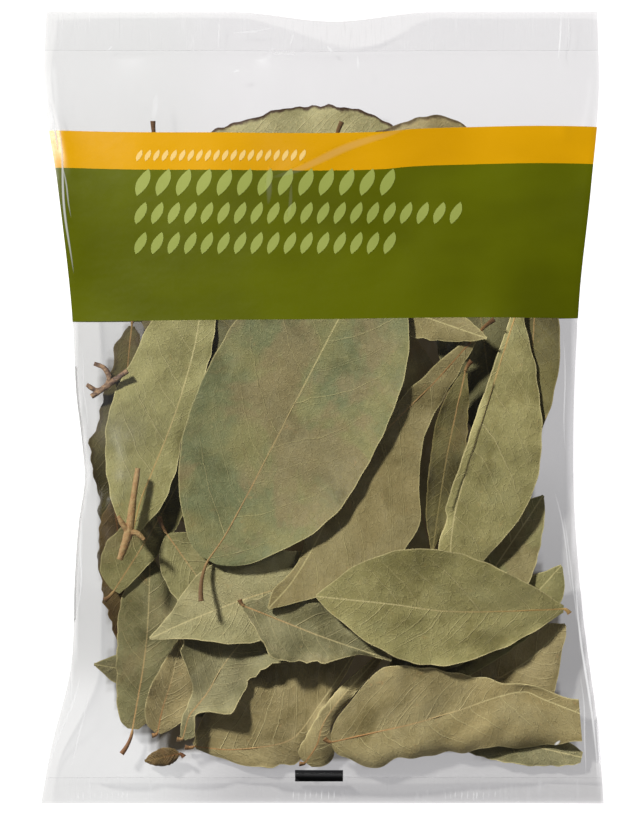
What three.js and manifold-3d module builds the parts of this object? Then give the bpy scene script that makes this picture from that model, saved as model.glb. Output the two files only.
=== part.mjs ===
// A sealed packet of dried bay leaves: a clear film pouch, crimped shut at both ends, with
// loose leaves and a few scraps of twig lying in it. The packet lies on its back.
// Millimetres. +Z is up, +Y runs towards the packet's header, and the origin lies under its middle.
import * as THREE from "three";
import { mergeVertices } from "three/addons/utils/BufferGeometryUtils.js";
import Module from "manifold-3d";

// ---------- driving dimensions ----------
const PACK_LENGTH = 185;
const FILM = 0.6; // thickness of a film panel
const GAP = 0.35; // air left between pieces that lie on each other
const BLADE = 0.6; // thickness of a leaf blade
const STALK_RADIUS = 0.75;
const BOTTOM_SEAL = 6; // height of the crimped strip at the foot
const TOP_SEAL = 9; // and at the header
const FOLD_HEIGHT = 10.5; // the side folds' height above the table, beside the leaves
const SEAL_HEIGHT = 1.2; // and at the two seals
const SIDE_ROUNDING = 20; // how far in from a side fold the back panel reaches the table
const END_LIFT = 1.4; // the seals curl this far off the table
const INFLATION = 0.0018; // curvature that trapped air gives the front panel, per mm

const HEADER_WAVE = { x: 2.5, halfWidth: 24, height: 7, reach: 13, setBack: 2.8 };

const MIDDLE = PACK_LENGTH / 2;

// The packet's outline seen from above: [y, x] stations of its two sides, from header to foot.
const LEFT_SIDE = [
  [92.5, -64.5],
  [74, -65],
  [52, -61.5],
  [24, -58.2],
  [4, -57.2],
  [-8, -55.8],
  [-17, -55.2],
  [-27, -56.6],
  [-42, -57.6],
  [-60, -58.4],
  [-80, -63.5],
  [-92.5, -65.7],
];
const RIGHT_SIDE = [
  [92.5, 64.2],
  [74, 64.6],
  [52, 62.4],
  [24, 59.4],
  [-15, 58.2],
  [-48, 60.4],
  [-76, 64.4],
  [-92.5, 65.7],
];

// ---------- small mathematics ----------
const clamp = THREE.MathUtils.clamp;
const lerp = THREE.MathUtils.lerp;
const radians = THREE.MathUtils.degToRad;

function smooth(q) {
  const t = clamp(q, 0, 1);
  return t * t * (3 - 2 * t);
}

// A cubic through [y, value] stations that run from high y to low y.
function along(stations, y) {
  const last = stations.length - 1;
  let k = 0;
  while (k < last - 1 && y < stations[k + 1][0]) k++;
  const slope = (i) => {
    const a = stations[Math.max(0, i - 1)];
    const b = stations[Math.min(last, i + 1)];
    return (b[1] - a[1]) / (b[0] - a[0]);
  };
  const [y0, v0] = stations[k];
  const [y1, v1] = stations[k + 1];
  const span = y1 - y0;
  const t = clamp((y - y0) / span, 0, 1);
  const ease = smooth(t);
  const bend = t * (1 - t) * span;
  return lerp(v0, v1, ease) + bend * ((1 - t) * slope(k) - t * slope(k + 1));
}

// ---------- closed solids from two grids of points ----------
// Each grid is rows of points; the upper one lies above the lower, point for point.
function solidBetween(upper, lower) {
  const rows = upper.length;
  const columns = upper[0].length;
  const points = [...upper.flat(), ...lower.flat()];
  const top = (i, j) => i * columns + j;
  const bottom = (i, j) => (rows + i) * columns + j;
  const faces = [];
  const quad = (a, b, c, d) => faces.push(a, b, c, a, c, d);
  for (let i = 0; i + 1 < rows; i++) {
    for (let j = 0; j + 1 < columns; j++) {
      quad(top(i, j), top(i + 1, j), top(i + 1, j + 1), top(i, j + 1));
      faces.push(bottom(i, j), bottom(i + 1, j + 1), bottom(i + 1, j));
      faces.push(bottom(i, j), bottom(i, j + 1), bottom(i + 1, j + 1));
    }
    const end = columns - 1;
    quad(bottom(i, 0), bottom(i + 1, 0), top(i + 1, 0), top(i, 0));
    quad(top(i, end), top(i + 1, end), bottom(i + 1, end), bottom(i, end));
  }
  for (let j = 0; j + 1 < columns; j++) {
    const end = rows - 1;
    quad(top(0, j), top(0, j + 1), bottom(0, j + 1), bottom(0, j));
    quad(bottom(end, j), bottom(end, j + 1), top(end, j + 1), top(end, j));
  }
  const geometry = new THREE.BufferGeometry();
  geometry.setAttribute("position", new THREE.Float32BufferAttribute(points.flat(), 3));
  geometry.setIndex(faces);
  return geometry;
}

// ---------- the pile, as a map of the highest point over each cell ----------
const CELL = 1;
const SAMPLE = 0.7; // spacing of the points that a triangle is sampled at
const MAP_HALF = 100;
const MAP_SIDE = (2 * MAP_HALF) / CELL;

const cellOf = (x, y) =>
  Math.floor((y + MAP_HALF) / CELL) * MAP_SIDE + Math.floor((x + MAP_HALF) / CELL);

function* samplesOf(geometry) {
  const p = geometry.getAttribute("position");
  const index = geometry.index.array;
  const [a, b, c, q] = [0, 1, 2, 3].map(() => new THREE.Vector3());
  for (let k = 0; k < index.length; k += 3) {
    a.fromBufferAttribute(p, index[k]);
    b.fromBufferAttribute(p, index[k + 1]);
    c.fromBufferAttribute(p, index[k + 2]);
    const longest = Math.max(a.distanceTo(b), b.distanceTo(c), c.distanceTo(a));
    const n = Math.ceil(longest / SAMPLE);
    for (let i = 0; i <= n; i++) {
      for (let j = 0; i + j <= n; j++) {
        q.copy(a).multiplyScalar(1 - (i + j) / n);
        q.addScaledVector(b, i / n).addScaledVector(c, j / n);
        yield q;
      }
    }
  }
}

// Raises the map to a piece's surface, one cell further out than the piece reaches.
function heap(map, geometry) {
  for (const q of samplesOf(geometry)) {
    const cell = cellOf(q.x, q.y);
    for (const dy of [-MAP_SIDE, 0, MAP_SIDE]) {
      for (const dx of [-1, 0, 1]) {
        map[cell + dy + dx] = Math.max(map[cell + dy + dx], q.z);
      }
    }
  }
}

// The lowest point of a piece over each cell that it covers.
function underside(geometry) {
  const lowest = new Map();
  for (const q of samplesOf(geometry)) {
    const cell = cellOf(q.x, q.y);
    const known = lowest.get(cell);
    if (!known || q.z < known.z) lowest.set(cell, { cell, x: q.x, y: q.y, z: q.z });
  }
  return [...lowest.values()];
}

// How a piece lies: what is added to its height over each place, as the five coefficients of
// [dx, dy, dx², dx·dy, dy²] about its middle. The first two tilt it, the others bend it.
const STEEPEST = 0.2;
const MOST_BENT = 0.004;
const LIE_LIMITS = [STEEPEST, STEEPEST, MOST_BENT, MOST_BENT, MOST_BENT];
const FIRST_STEP = 0.25; // as a share of those limits
const STEP_HALVINGS = 5;
const RIM_REACH = 24; // within this far of the packet's edge a piece is pressed down harder
const RIM_WEIGHT = 4;

const lieTerms = (dx, dy) => [dx, dy, dx * dx, dx * dy, dy * dy];

function sumOf(terms, coefficients) {
  let sum = 0;
  for (let k = 0; k < terms.length; k++) sum += terms[k] * coefficients[k];
  return sum;
}

// Every step of one coefficient, or of two of them together.
const LIE_STEPS = (() => {
  const steps = [];
  for (let i = 0; i < 5; i++) {
    for (let j = i; j < 5; j++) {
      for (const [p, q] of i === j ? [[1, 0], [-1, 0]] : [[1, 1], [1, -1], [-1, 1], [-1, -1]]) {
        const step = [0, 0, 0, 0, 0];
        step[j] += q;
        step[i] += p;
        steps.push(step);
      }
    }
  }
  return steps;
})();

function pressOn(x, y) {
  const sides = Math.min(x - leftSide(y), rightSide(y) - x);
  const ends = Math.min(y + MIDDLE - BOTTOM_SEAL, MIDDLE - TOP_SEAL - y);
  return 1 + RIM_WEIGHT * (1 - smooth(Math.min(sides, ends) / RIM_REACH));
}

// Lets a piece down onto the pile and bends it a little to what lies under it.
function settle(map, geometry) {
  const feet = underside(geometry);
  const middleX = feet.reduce((sum, f) => sum + f.x, 0) / feet.length;
  const middleY = feet.reduce((sum, f) => sum + f.y, 0) / feet.length;
  const clearances = [];
  const average = [0, 0, 0, 0, 0];
  const press = feet.map((f) => pressOn(f.x, f.y));
  const total = press.reduce((sum, w) => sum + w, 0);
  feet.forEach((f, i) => {
    const terms = lieTerms(f.x - middleX, f.y - middleY);
    clearances.push({ terms, needed: map[f.cell] + GAP - f.z });
    terms.forEach((term, k) => (average[k] += (press[i] * term) / total));
  });
  const drop = (bend) => {
    let rise = -Infinity;
    for (const { terms, needed } of clearances) {
      rise = Math.max(rise, needed - sumOf(terms, bend));
    }
    return { rise, bend, middleX, middleY, height: rise + sumOf(average, bend) };
  };
  let best = drop([0, 0, 0, 0, 0]);
  for (let halving = 0, size = FIRST_STEP; halving < STEP_HALVINGS; halving++, size /= 2) {
    for (let improved = true; improved; ) {
      improved = false;
      for (const step of LIE_STEPS) {
        const tried = drop(
          best.bend.map((c, k) => {
            const limit = LIE_LIMITS[k];
            return clamp(c + step[k] * size * limit, -limit, limit);
          }),
        );
        if (tried.height < best.height - 1e-4) {
          best = tried;
          improved = true;
        }
      }
    }
  }
  return best;
}

// Lifts every point by the lie that settle found; places seen from above stay as they are.
function lay(geometry, lie) {
  const p = geometry.getAttribute("position");
  for (let k = 0; k < p.count; k++) {
    const terms = lieTerms(p.getX(k) - lie.middleX, p.getY(k) - lie.middleY);
    p.setZ(k, p.getZ(k) + lie.rise + sumOf(terms, lie.bend));
  }
  return geometry;
}

// ---------- the film pouch ----------
const COLUMNS = 20;
const BELLY_ROWS = 24;
const EDGE_CROWDING = 0.6; // 0 spaces the stations evenly, 1 crowds them to the edges

const crowded = (q) => lerp(q, 0.5 - 0.5 * Math.cos(Math.PI * q), EDGE_CROWDING);

const acrossStations = Array.from({ length: COLUMNS + 1 }, (_, i) => crowded(i / COLUMNS));

const rowStations = (() => {
  const foot = -MIDDLE + BOTTOM_SEAL;
  const head = MIDDLE - TOP_SEAL;
  const belly = Array.from({ length: BELLY_ROWS + 1 }, (_, j) =>
    lerp(foot, head, crowded(j / BELLY_ROWS)),
  );
  return [-MIDDLE, ...belly, MIDDLE - TOP_SEAL / 2, MIDDLE];
})();

const leftSide = (y) => along(LEFT_SIDE, y);
const rightSide = (y) => along(RIGHT_SIDE, y);

function foldHeight(y) {
  const fromFoot = smooth((y + MIDDLE - BOTTOM_SEAL) / 34);
  const fromHead = smooth((MIDDLE - TOP_SEAL - y) / 46);
  return lerp(SEAL_HEIGHT, FOLD_HEIGHT, Math.min(fromFoot, fromHead));
}

// The header's edge waves up in its middle, which draws it back a little.
function headerWave(x, y) {
  const across = smooth(1 - Math.abs(x - HEADER_WAVE.x) / HEADER_WAVE.halfWidth);
  const into = clamp((y - MIDDLE + HEADER_WAVE.reach) / HEADER_WAVE.reach, 0, 1);
  return across * into * into;
}

// The underside of the back panel: on the table in the middle, rolling up to the side folds.
function backPanelHeight(x, y) {
  const inward = Math.min(x - leftSide(y), rightSide(y) - x);
  const q = clamp(inward / SIDE_ROUNDING, 0, 1);
  const roll = 1 - Math.sqrt(1 - (1 - q) ** 2);
  const lift = END_LIFT * smooth((Math.abs(y) - MIDDLE + 16) / 16);
  return foldHeight(y) * roll + lift + HEADER_WAVE.height * headerWave(x, y);
}

function panelGrid(height) {
  return rowStations.map((y) =>
    acrossStations.map((s) => {
      const x = lerp(leftSide(y), rightSide(y), s);
      return [x, y - HEADER_WAVE.setBack * headerWave(x, y), height(x, y)];
    }),
  );
}

// Rows run up the page and columns to the right, so rows are handed over in columns.
const turned = (grid) => grid[0].map((_, i) => grid.map((row) => row[i]));
const raised = (grid, by) => grid.map((row) => row.map(([x, y, z]) => [x, y, z + by]));

function panelSolid(lower) {
  return solidBetween(turned(raised(lower, FILM)), turned(lower));
}

const MEMBRANE_SWEEPS = 160;

// The front panel's underside: a taut, slightly inflated sheet held by the folds and the seals
// and pushed up by whichever leaves would come through it.
function frontPanelGrid(back, leaves) {
  const floor = raised(back, FILM + GAP);
  const grid = raised(floor, 0);
  const rows = grid.length;
  const held = (j, i) => j <= 1 || j >= rows - 3 || i === 0 || i === COLUMNS;
  const pressed = pressPoints(grid, leaves);
  for (let sweep = 0; sweep < MEMBRANE_SWEEPS; sweep++) {
    for (let j = 2; j < rows - 3; j++) {
      for (let i = 1; i < COLUMNS; i++) {
        grid[j][i][2] = Math.max(relaxed(grid, j, i), floor[j][i][2]);
      }
    }
    pushOut(grid, pressed, held);
  }
  for (let pass = 0; pass < 12; pass++) pushOut(grid, pressed, held);
  return grid;
}

// The height at which the film is in balance between its four neighbours.
function relaxed(grid, j, i) {
  const [x, y] = grid[j][i];
  const part = (before, after, reach) => {
    const [a, b] = reach;
    return { value: (b * before + a * after) / (a + b), weight: 1 / (a * b) };
  };
  const reachX = [x - grid[j][i - 1][0], grid[j][i + 1][0] - x];
  const reachY = [y - grid[j - 1][i][1], grid[j + 1][i][1] - y];
  const acrossX = part(grid[j][i - 1][2], grid[j][i + 1][2], reachX);
  const acrossY = part(grid[j - 1][i][2], grid[j + 1][i][2], reachY);
  const weight = acrossX.weight + acrossY.weight;
  const mean = (acrossX.value * acrossX.weight + acrossY.value * acrossY.weight) / weight;
  return mean + INFLATION / weight;
}

// Each cell of the leaves under a panel, with the three grid points of the facet over it.
function pressPoints(grid, leaves) {
  const found = [];
  const facet = (a, b, c) => {
    const [[ax, ay], [bx, by], [cx, cy]] = [a, b, c];
    const area = (bx - ax) * (cy - ay) - (cx - ax) * (by - ay);
    const lowX = Math.floor(Math.min(ax, bx, cx));
    const highX = Math.ceil(Math.max(ax, bx, cx));
    const lowY = Math.floor(Math.min(ay, by, cy));
    const highY = Math.ceil(Math.max(ay, by, cy));
    for (let y = lowY + CELL / 2; y < highY; y += CELL) {
      for (let x = lowX + CELL / 2; x < highX; x += CELL) {
        const toB = ((x - ax) * (cy - ay) - (cx - ax) * (y - ay)) / area;
        const toC = ((bx - ax) * (y - ay) - (x - ax) * (by - ay)) / area;
        const toA = 1 - toB - toC;
        if (Math.min(toA, toB, toC) < 0) continue;
        const height = leaves[cellOf(x, y)] + GAP;
        if (height > 0) found.push({ height, points: [a, b, c], share: [toA, toB, toC] });
      }
    }
  };
  for (let j = 0; j + 1 < grid.length; j++) {
    for (let i = 0; i + 1 < grid[0].length; i++) {
      facet(grid[j][i], grid[j][i + 1], grid[j + 1][i + 1]);
      facet(grid[j][i], grid[j + 1][i + 1], grid[j + 1][i]);
    }
  }
  return found;
}

function pushOut(grid, pressed, held) {
  const fixed = new Set();
  grid.forEach((row, j) => row.forEach((p, i) => held(j, i) && fixed.add(p)));
  for (const { height, points, share } of pressed) {
    const here = points.reduce((sum, p, k) => sum + p[2] * share[k], 0);
    const short = height - here;
    if (short <= 0) continue;
    const free = points.map((p, k) => (fixed.has(p) ? 0 : share[k]));
    const grip = free.reduce((sum, w) => sum + w * w, 0);
    if (grip < 1e-3) continue;
    points.forEach((p, k) => (p[2] += (short * free[k]) / grip));
  }
}

// ---------- a leaf ----------
const BLADE_STATIONS = [0, 0.06, 0.15, 0.27, 0.4, 0.54, 0.68, 0.81, 0.92, 1];
const HIDDEN_STATIONS = [0, 0.12, 0.35, 0.6, 0.84, 1];
const TIP_HALF = 0.35;
const ROLLED = 25; // degrees of curl above which a blade takes more strips across
const STALK_STATIONS = 2;
const BASE_POWER = 0.6; // 0.5 rounds a blade's end, 1 makes it pointed
const TIP_POWER = 0.82;

// A plain blade's width at u as a share of its greatest width.
function outline(u) {
  const widest = BASE_POWER / (BASE_POWER + TIP_POWER);
  const shape = (t) => Math.pow(t, BASE_POWER) * Math.pow(1 - t, TIP_POWER);
  return shape(u) / shape(widest);
}

// How far the midrib lies to the left of the straight line from base to tip.
function ribAt(leaf, u) {
  return leaf.rib ? along(leaf.rib, u * leaf.length) : leaf.bow * 4 * u * (1 - u);
}

// The blade's width from the midrib out to its left edge, or to its right edge if side is -1.
function reachAt(leaf, side, u) {
  const edge = side < 0 ? leaf.right : leaf.left;
  if (!edge) return 0.5 * leaf.width * outline(u);
  return side * (along(edge, u * leaf.length) - ribAt(leaf, u));
}

// The slope of the blade's section, in radians, a share q of the way from midrib to edge.
function sectionSlope(leaf, side, q) {
  const curled = side < 0 ? leaf.curl[0] : leaf.curl[1];
  return radians(leaf.fold + leaf.cup * q + curled * smooth((q - 0.45) / 0.55));
}

// A point of the blade's middle surface, in the leaf's own frame: u runs from base to tip,
// v from the right edge (-1) to the left (+1).
function bladePoint(leaf, u, v) {
  const side = Math.sign(v);
  const q = Math.abs(v);
  const half = Math.max(TIP_HALF, reachAt(leaf, side, u), STALK_RADIUS * (1 - 6 * u));
  const steps = 12;
  let out = 0;
  let up = 0;
  for (let k = 0; k < steps; k++) {
    const slope = sectionSlope(leaf, side, (q * (k + 0.5)) / steps);
    out += (Math.cos(slope) * q * half) / steps;
    up += (Math.sin(slope) * q * half) / steps;
  }
  up *= smooth(u / 0.12) * smooth((1 - u) / 0.12);
  const turn = radians(leaf.twist) * (u - 0.5);
  const y = side * out * Math.cos(turn) - up * Math.sin(turn);
  const z = side * out * Math.sin(turn) + up * Math.cos(turn);
  const bulge = 4 * u * (1 - u);
  const wave = leaf.wave * q * q * bulge * Math.sin(leaf.waves * Math.PI * u + 2 * side);
  return new THREE.Vector3(leaf.length * u, ribAt(leaf, u) + y, leaf.arch * bulge + z + wave);
}

// The stalk runs back from the blade's base and bends a little.
function stalkPoint(leaf, back, v) {
  const bend = leaf.stalkBend * (back / leaf.stalk) ** 2;
  const narrowing = 0.8 + 0.2 * (back / leaf.stalk);
  const y = ribAt(leaf, 0) + bend + v * STALK_RADIUS * narrowing;
  return new THREE.Vector3(-back, y, 0.12 * back);
}

function stripCount(leaf) {
  if (leaf.hidden) return 2;
  return Math.max(...leaf.curl.map(Math.abs)) > ROLLED ? 6 : 4;
}

function leafMiddle(leaf) {
  const strips = stripCount(leaf);
  const v = Array.from({ length: strips + 1 }, (_, j) => (2 * j) / strips - 1);
  const share = Array.from({ length: STALK_STATIONS }, (_, i) => 1 - i / STALK_STATIONS);
  const stalk = share.map((s) => leaf.stalk * s);
  const rows = stalk.map((back) => v.map((q) => stalkPoint(leaf, back, q)));
  const thickness = stalk.map(() => 1.7 * STALK_RADIUS);
  for (const u of leaf.hidden ? HIDDEN_STATIONS : BLADE_STATIONS) {
    rows.push(v.map((q) => bladePoint(leaf, u, q)));
    thickness.push(lerp(1.5 * STALK_RADIUS, BLADE, smooth(u / 0.12)));
  }
  return { rows, thickness };
}

// The blade as a closed solid, half its thickness to each side of its middle surface.
function leafSolid(leaf) {
  const { rows, thickness } = leafMiddle(leaf);
  const at = (i, j) => rows[clamp(i, 0, rows.length - 1)][clamp(j, 0, rows[0].length - 1)];
  const face = (sign) =>
    rows.map((row, i) =>
      row.map((p, j) => {
        const lengthways = at(i + 1, j).clone().sub(at(i - 1, j));
        const sideways = at(i, j + 1).clone().sub(at(i, j - 1));
        const normal = lengthways.cross(sideways).normalize();
        const out = p.clone().addScaledVector(normal, (sign * thickness[i]) / 2);
        return out.toArray();
      }),
    );
  const heading = Math.atan2(leaf.tip[1] - leaf.base[1], leaf.tip[0] - leaf.base[0]);
  return solidBetween(face(1), face(-1))
    .rotateZ(heading)
    .translate(leaf.base[0], leaf.base[1], 0);
}

// bow bends the midrib sideways and arch bends it upwards; fold, cup and curl (of the right and
// of the left half) shape the section.
const PLAIN_LEAF = {
  arch: 1,
  fold: 4,
  cup: -8,
  curl: [0, 0],
  twist: 0,
  bow: 0,
  wave: 0.6,
  waves: 5,
  stalk: 6,
  stalkBend: 1,
  hidden: false,
};

function completed(leaf) {
  const span = Math.hypot(leaf.tip[0] - leaf.base[0], leaf.tip[1] - leaf.base[1]);
  return { ...PLAIN_LEAF, ...leaf, length: span };
}

// The leaves that show, lowest first. Base and tip are seen from above. Where a blade isn't a
// plain oval, left and right are its edges and rib its midrib: stations [mm along, mm to the
// left of the line from base to tip], from tip to base.
const SHOWING_LEAVES = [
  {
    base: [-29.5, 60], tip: [17.5, 64.5], cup: -14, wave: 1,
    left: [
      [47.2, 0.3], [45.8, 2], [38.3, 6.1], [30.5, 7.7], [21.8, 7.9], [14.7, 6.6], [2.8, 3.8],
      [0, 0.6],
    ],
    right: [[47.2, -0.3], [38, -7], [24, -10], [10, -7], [0, -0.6]],
    rib: [[47.2, 0], [0, 0]],
  },
  {
    base: [-4, 52], tip: [36, 63.5], cup: -12, wave: 0.9,
    left: [
      [41.6, 0.3], [39.7, 2.9], [37.7, 5.1], [34.6, 7], [30, 7.8], [24.3, 7.6], [14, 6.5], [5, 3.5],
      [0, 0.6],
    ],
    right: [[41.6, -0.3], [34, -6], [20, -9], [8, -5], [0, -0.6]],
    rib: [[41.6, 0], [0, 0]],
  },
  { base: [34, 46], tip: [41, -12], width: 23, cup: -10 },
  { base: [-38.5, 60], tip: [-20.5, 0], width: 22, arch: 1.4, stalk: 6.8 },
  { base: [2.5, 60], tip: [-7.5, -4], width: 25, arch: 1.6, stalk: 6.8, fold: -4, cup: 10 },
  {
    base: [-44.5, 19], tip: [-49.5, -34], curl: [-6, 16], cup: 6,
    left: [[53.2, 0.3], [44, 4], [30, 6.2], [14, 5.6], [4, 3], [0, 0.6]],
    right: [
      [53.2, -0.3], [46, -2.8], [40, -3.9], [35.4, -5.2], [31, -6.6], [26.6, -6.7], [24, -5.7],
      [15.4, -4.6], [9, -3.2], [6, -3.7], [2, -2], [0, -0.6],
    ],
    rib: [[53.2, 0], [0, 0]],
  },
  { base: [-48.5, -21.5], tip: [-43.5, -62], width: 11, curl: [10, -20], cup: -8 },
  { base: [-8, -68], tip: [-53.2, -59.8], width: 16 },
  { base: [50, 30], tip: [47, -12], width: 13, twist: 12, stalk: 4 },
  {
    base: [22, -73], tip: [60.5, -82], stalk: 3,
    left: [[39.5, 1.6], [36, 3], [28, 4.5], [18, 5], [8, 4], [0, 0.6]],
    right: [[39.5, -1], [37.5, -2.1], [32, -3.6], [26.7, -4.6], [18, -5], [8, -4], [0, -0.6]],
    rib: [[39.5, 0.3], [0, 0]],
  },
  {
    base: [23, -74], tip: [56.5, -50.5],
    left: [[40.9, 0.3], [36, 3.4], [28, 6], [18, 7], [8, 5], [0, 0.6]],
    right: [
      [40.9, -0.4], [39.5, -2.4], [36.9, -4.6], [33, -8.7], [28.6, -12.3], [24, -11], [18, -8.4],
      [10, -6.4], [4, -4], [0, -0.6],
    ],
    rib: [[40.9, 0], [30, -2], [15, -1], [0, 0]],
  },
  {
    base: [14, -66], tip: [55.6, -36.8], wave: 1,
    left: [[50.8, 0.3], [42.3, 2.4], [30, 7], [18, 9], [8, 6], [0, 0.6]],
    right: [[50.8, -0.5], [48.5, -4.6], [45.8, -6.8], [38, -9], [20, -9], [8, -6], [0, -0.6]],
    rib: [[50.8, 0], [40, -2], [20, -0.5], [0, 0]],
  },
  { base: [24, -61], tip: [51.5, -20.5], width: 19, twist: 10 },
  {
    base: [-44, -75], tip: [-40, -34], cup: -12, stalk: 6, stalkBend: 2,
    left: [[41.2, 0.3], [34, 4.5], [28, 6], [20, 5.8], [10, 5], [2, 3.6], [0, 1.4]],
    right: [[41.2, -0.3], [30, -8], [20, -10], [10, -8], [4, -5], [0, -1]],
    rib: [[41.2, 0], [20, -1], [0, 0.3]],
  },
  {
    base: [-38, -76], tip: [-29, -50], cup: 12, stalk: 1,
    left: [[27.5, 0.8], [22, 3], [14, 5], [8, 5.6], [4, 5], [1, 3.4], [0, 1.2]],
    right: [[27.5, 0], [21, 0.8], [17, -1.6], [13, -4.4], [9, -6], [4, -4], [0, -0.5]],
    rib: [[27.5, 0.4], [20, 2], [13, 1.4], [6, 1.2], [0, 0.5]],
  },
  {
    base: [-47.5, -43], tip: [-24, 1], cup: 8, stalk: 3,
    left: [
      [49.9, 0.3], [38, 2], [25, 3.6], [17, 4.8], [13, 6.8], [8, 7.9], [3, 6.3], [1, 4], [0, 2],
    ],
    right: [[49.9, -0.3], [38, -3], [25, -5], [12, -4], [5, -2.2], [0, -0.5]],
    rib: [[49.9, 0], [20, -0.3], [0, 1]],
  },
  {
    base: [-30, -79], tip: [8.5, -55.5], cup: -10, wave: 1.2, stalk: 2,
    left: [[45.1, 0.3], [38, 4.5], [30, 8.5], [20, 9.5], [10, 7], [4, 3.8], [0, 0.6]],
    right: [
      [45.1, -0.5], [38, -4.6], [30, -8.4], [25, -11], [21, -14.5], [19, -16], [14, -14.2],
      [8, -10.5], [4, -6], [0, -1],
    ],
    rib: [[45.1, 0], [38, -3.4], [30, -7], [21.4, -10.4], [16, -9.5], [6.7, -5.2], [0, -0.2]],
  },
  {
    base: [-32.5, -77], tip: [-7, -44], curl: [30, 6], wave: 1.6, stalk: 1, cup: 4,
    left: [
      [41.7, 0.3], [33, 10], [25, 14.5], [17, 13.5], [14, 10], [11, 5.6], [9, 4.4], [5, 3.6],
      [0, 1],
    ],
    right: [
      [41.7, -0.3], [35, -6.5], [29, -8.2], [25, -5.6], [20, -4.6], [15, -5.4], [12, -6],
      [10, -3.4], [8, -0.4], [6, 0.8], [4, -0.6], [2, -2], [0, -1],
    ],
    rib: [[41.7, 0], [30, 2.5], [20, 3], [12, 2], [8, 2], [5, 2], [0, 0]],
  },
  {
    base: [-4, -82.8], tip: [15, -56], fold: -6, cup: -20, stalk: 1,
    left: [[32.9, 0.3], [28, 1.6], [20.6, 3.3], [15.6, 4], [9.1, 4], [4.8, 3.5], [1.1, 3], [0, 1]],
    right: [
      [32.9, -0.3], [28, -0.8], [20, -0.2], [15, 0.3], [12, 0.2], [9.5, -0.4], [8, -3], [4, -5],
      [1.5, -4], [0, -2],
    ],
    rib: [[32.9, 0], [20.6, 1.6], [15.6, 2.1], [9.5, 1.8], [5, 0.2], [0, 0]],
  },
  {
    base: [2, -76.5], tip: [60, -71.8], curl: [-40, 0], cup: -6, wave: 1.2, stalk: 1.5,
    left: [
      [58.2, 3.6], [55, 4.8], [52, 6.2], [49, 7.4], [46, 8.4], [40, 9.6], [35, 11], [30, 12.5],
      [25, 13.8], [20, 15], [15, 15.4], [12, 14.3], [8, 11], [3, 5.5], [1, 3], [0, 0.5],
    ],
    right: [
      [58.2, -6.2], [50, -6.9], [45, -7.2], [38, -6.4], [30, -6.8], [20, -7], [15, -7.2],
      [11, -8.4], [7, -8], [3, -5.8], [1, -4.4], [0, -2.4],
    ],
    rib: [[58.2, 0.5], [50, 4.5], [46, 6.6], [40, 6.1], [30, 3.6], [20, 1.5], [10, 0], [0, -1.4]],
  },
  { base: [-36, -29.5], tip: [-20, -52], width: 14, stalk: 4.5 },
  {
    base: [8, -37], tip: [-40, -53.5], curl: [0, 16], cup: -4, stalk: 3,
    left: [
      [50.8, 0.3], [47, 1.5], [42, 3.2], [38, 5.2], [33, 7.6], [27, 9], [20, 9], [10, 6], [0, 0.6],
    ],
    right: [
      [50.8, -0.3], [45, -3.6], [41, -6.7], [38, -9], [33, -11.3], [28, -12], [20, -11], [10, -7],
      [0, -0.6],
    ],
    rib: [[50.8, 0], [40, -1], [25, -1.4], [0, 0]],
  },
  {
    base: [-18, -46], tip: [16, -58.5], curl: [34, 0], wave: 1.2, stalk: 1.6,
    left: [[36.2, 0.3], [28, 4], [22, 6], [16, 7], [10, 7], [5, 5], [0, 1]],
    right: [
      [36.2, -0.4], [29, -1.4], [26, -3.3], [22, -6], [16, -8], [12, -9.3], [9, -8.5], [5, -5],
      [0, -1],
    ],
    rib: [[36.2, 0], [20, -0.5], [0, 0]],
  },
  {
    base: [36, 17], tip: [-12.5, -46.5], arch: 1.8, curl: [0, 16], cup: -8, stalk: 5,
    left: [
      [79.9, 0.3], [74, 5], [66, 11], [58, 15.5], [50, 17], [42, 15.5], [36, 10.5], [30, 6.5],
      [25, 4.3], [18, 2.9], [8, 1.8], [0, 0.6],
    ],
    right: [
      [79.9, -0.3], [76, -1.8], [72, -1.2], [67, -1.2], [62, -3], [56, -7.5], [50, -11.4],
      [42, -12], [33, -8], [27, -5.8], [20, -4.8], [10, -3.2], [0, -0.6],
    ],
    rib: [
      [79.9, 0], [72, 0.6], [62, -0.4], [50, -3], [42, -3.8], [33, -3.6], [25, -2.6], [15, -1.2],
      [0, 0],
    ],
  },
  { base: [-2, 30], tip: [38, 16], width: 12, cup: -20, stalk: 4 },
  {
    base: [33, 8], tip: [25.5, -33], curl: [24, 12], stalk: 3,
    left: [[41.7, 0.3], [32, 2.5], [20, 3.4], [8, 2.4], [0, 0.6]],
    right: [[41.7, -0.4], [36, -2.5], [30, -3.6], [20, -4.4], [12, -4.5], [5, -3], [0, -0.8]],
    rib: [[41.7, 0], [20, -0.6], [0, 0]],
  },
  {
    base: [46, 25], tip: [30, -42], fold: -4, cup: -6, stalk: 3,
    left: [
      [68.9, 0.3], [66, 2.5], [60, 6.2], [55, 9], [50, 11.4], [45, 13], [40, 13.5], [35, 13.3],
      [30, 12.4], [25, 11], [20, 9.3], [15, 7.3], [10, 4.9], [5, 2.4], [0, 0.6],
    ],
    right: [
      [68.9, -0.3], [64, -4.2], [60, -5.4], [53, -5], [51, -5.9], [40, -4.9], [30, -4], [20, -3],
      [5, -1.4], [0, -0.6],
    ],
    rib: [[68.9, 0], [60, -2.5], [50, -3.5], [40, -3], [30, -2.3], [20, -1.6], [10, -0.8], [0, 0]],
  },
  {
    base: [-43.5, -29], tip: [-27.5, 31], curl: [8, -4], stalk: 1.5,
    left: [
      [62.1, 0.3], [56, 5.5], [50, 8.5], [45, 10], [40, 10.8], [35, 12], [30, 12.9], [25, 13],
      [20, 12.3], [15, 11], [10, 9], [5, 6.5], [2, 4], [0, 1.4],
    ],
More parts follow.
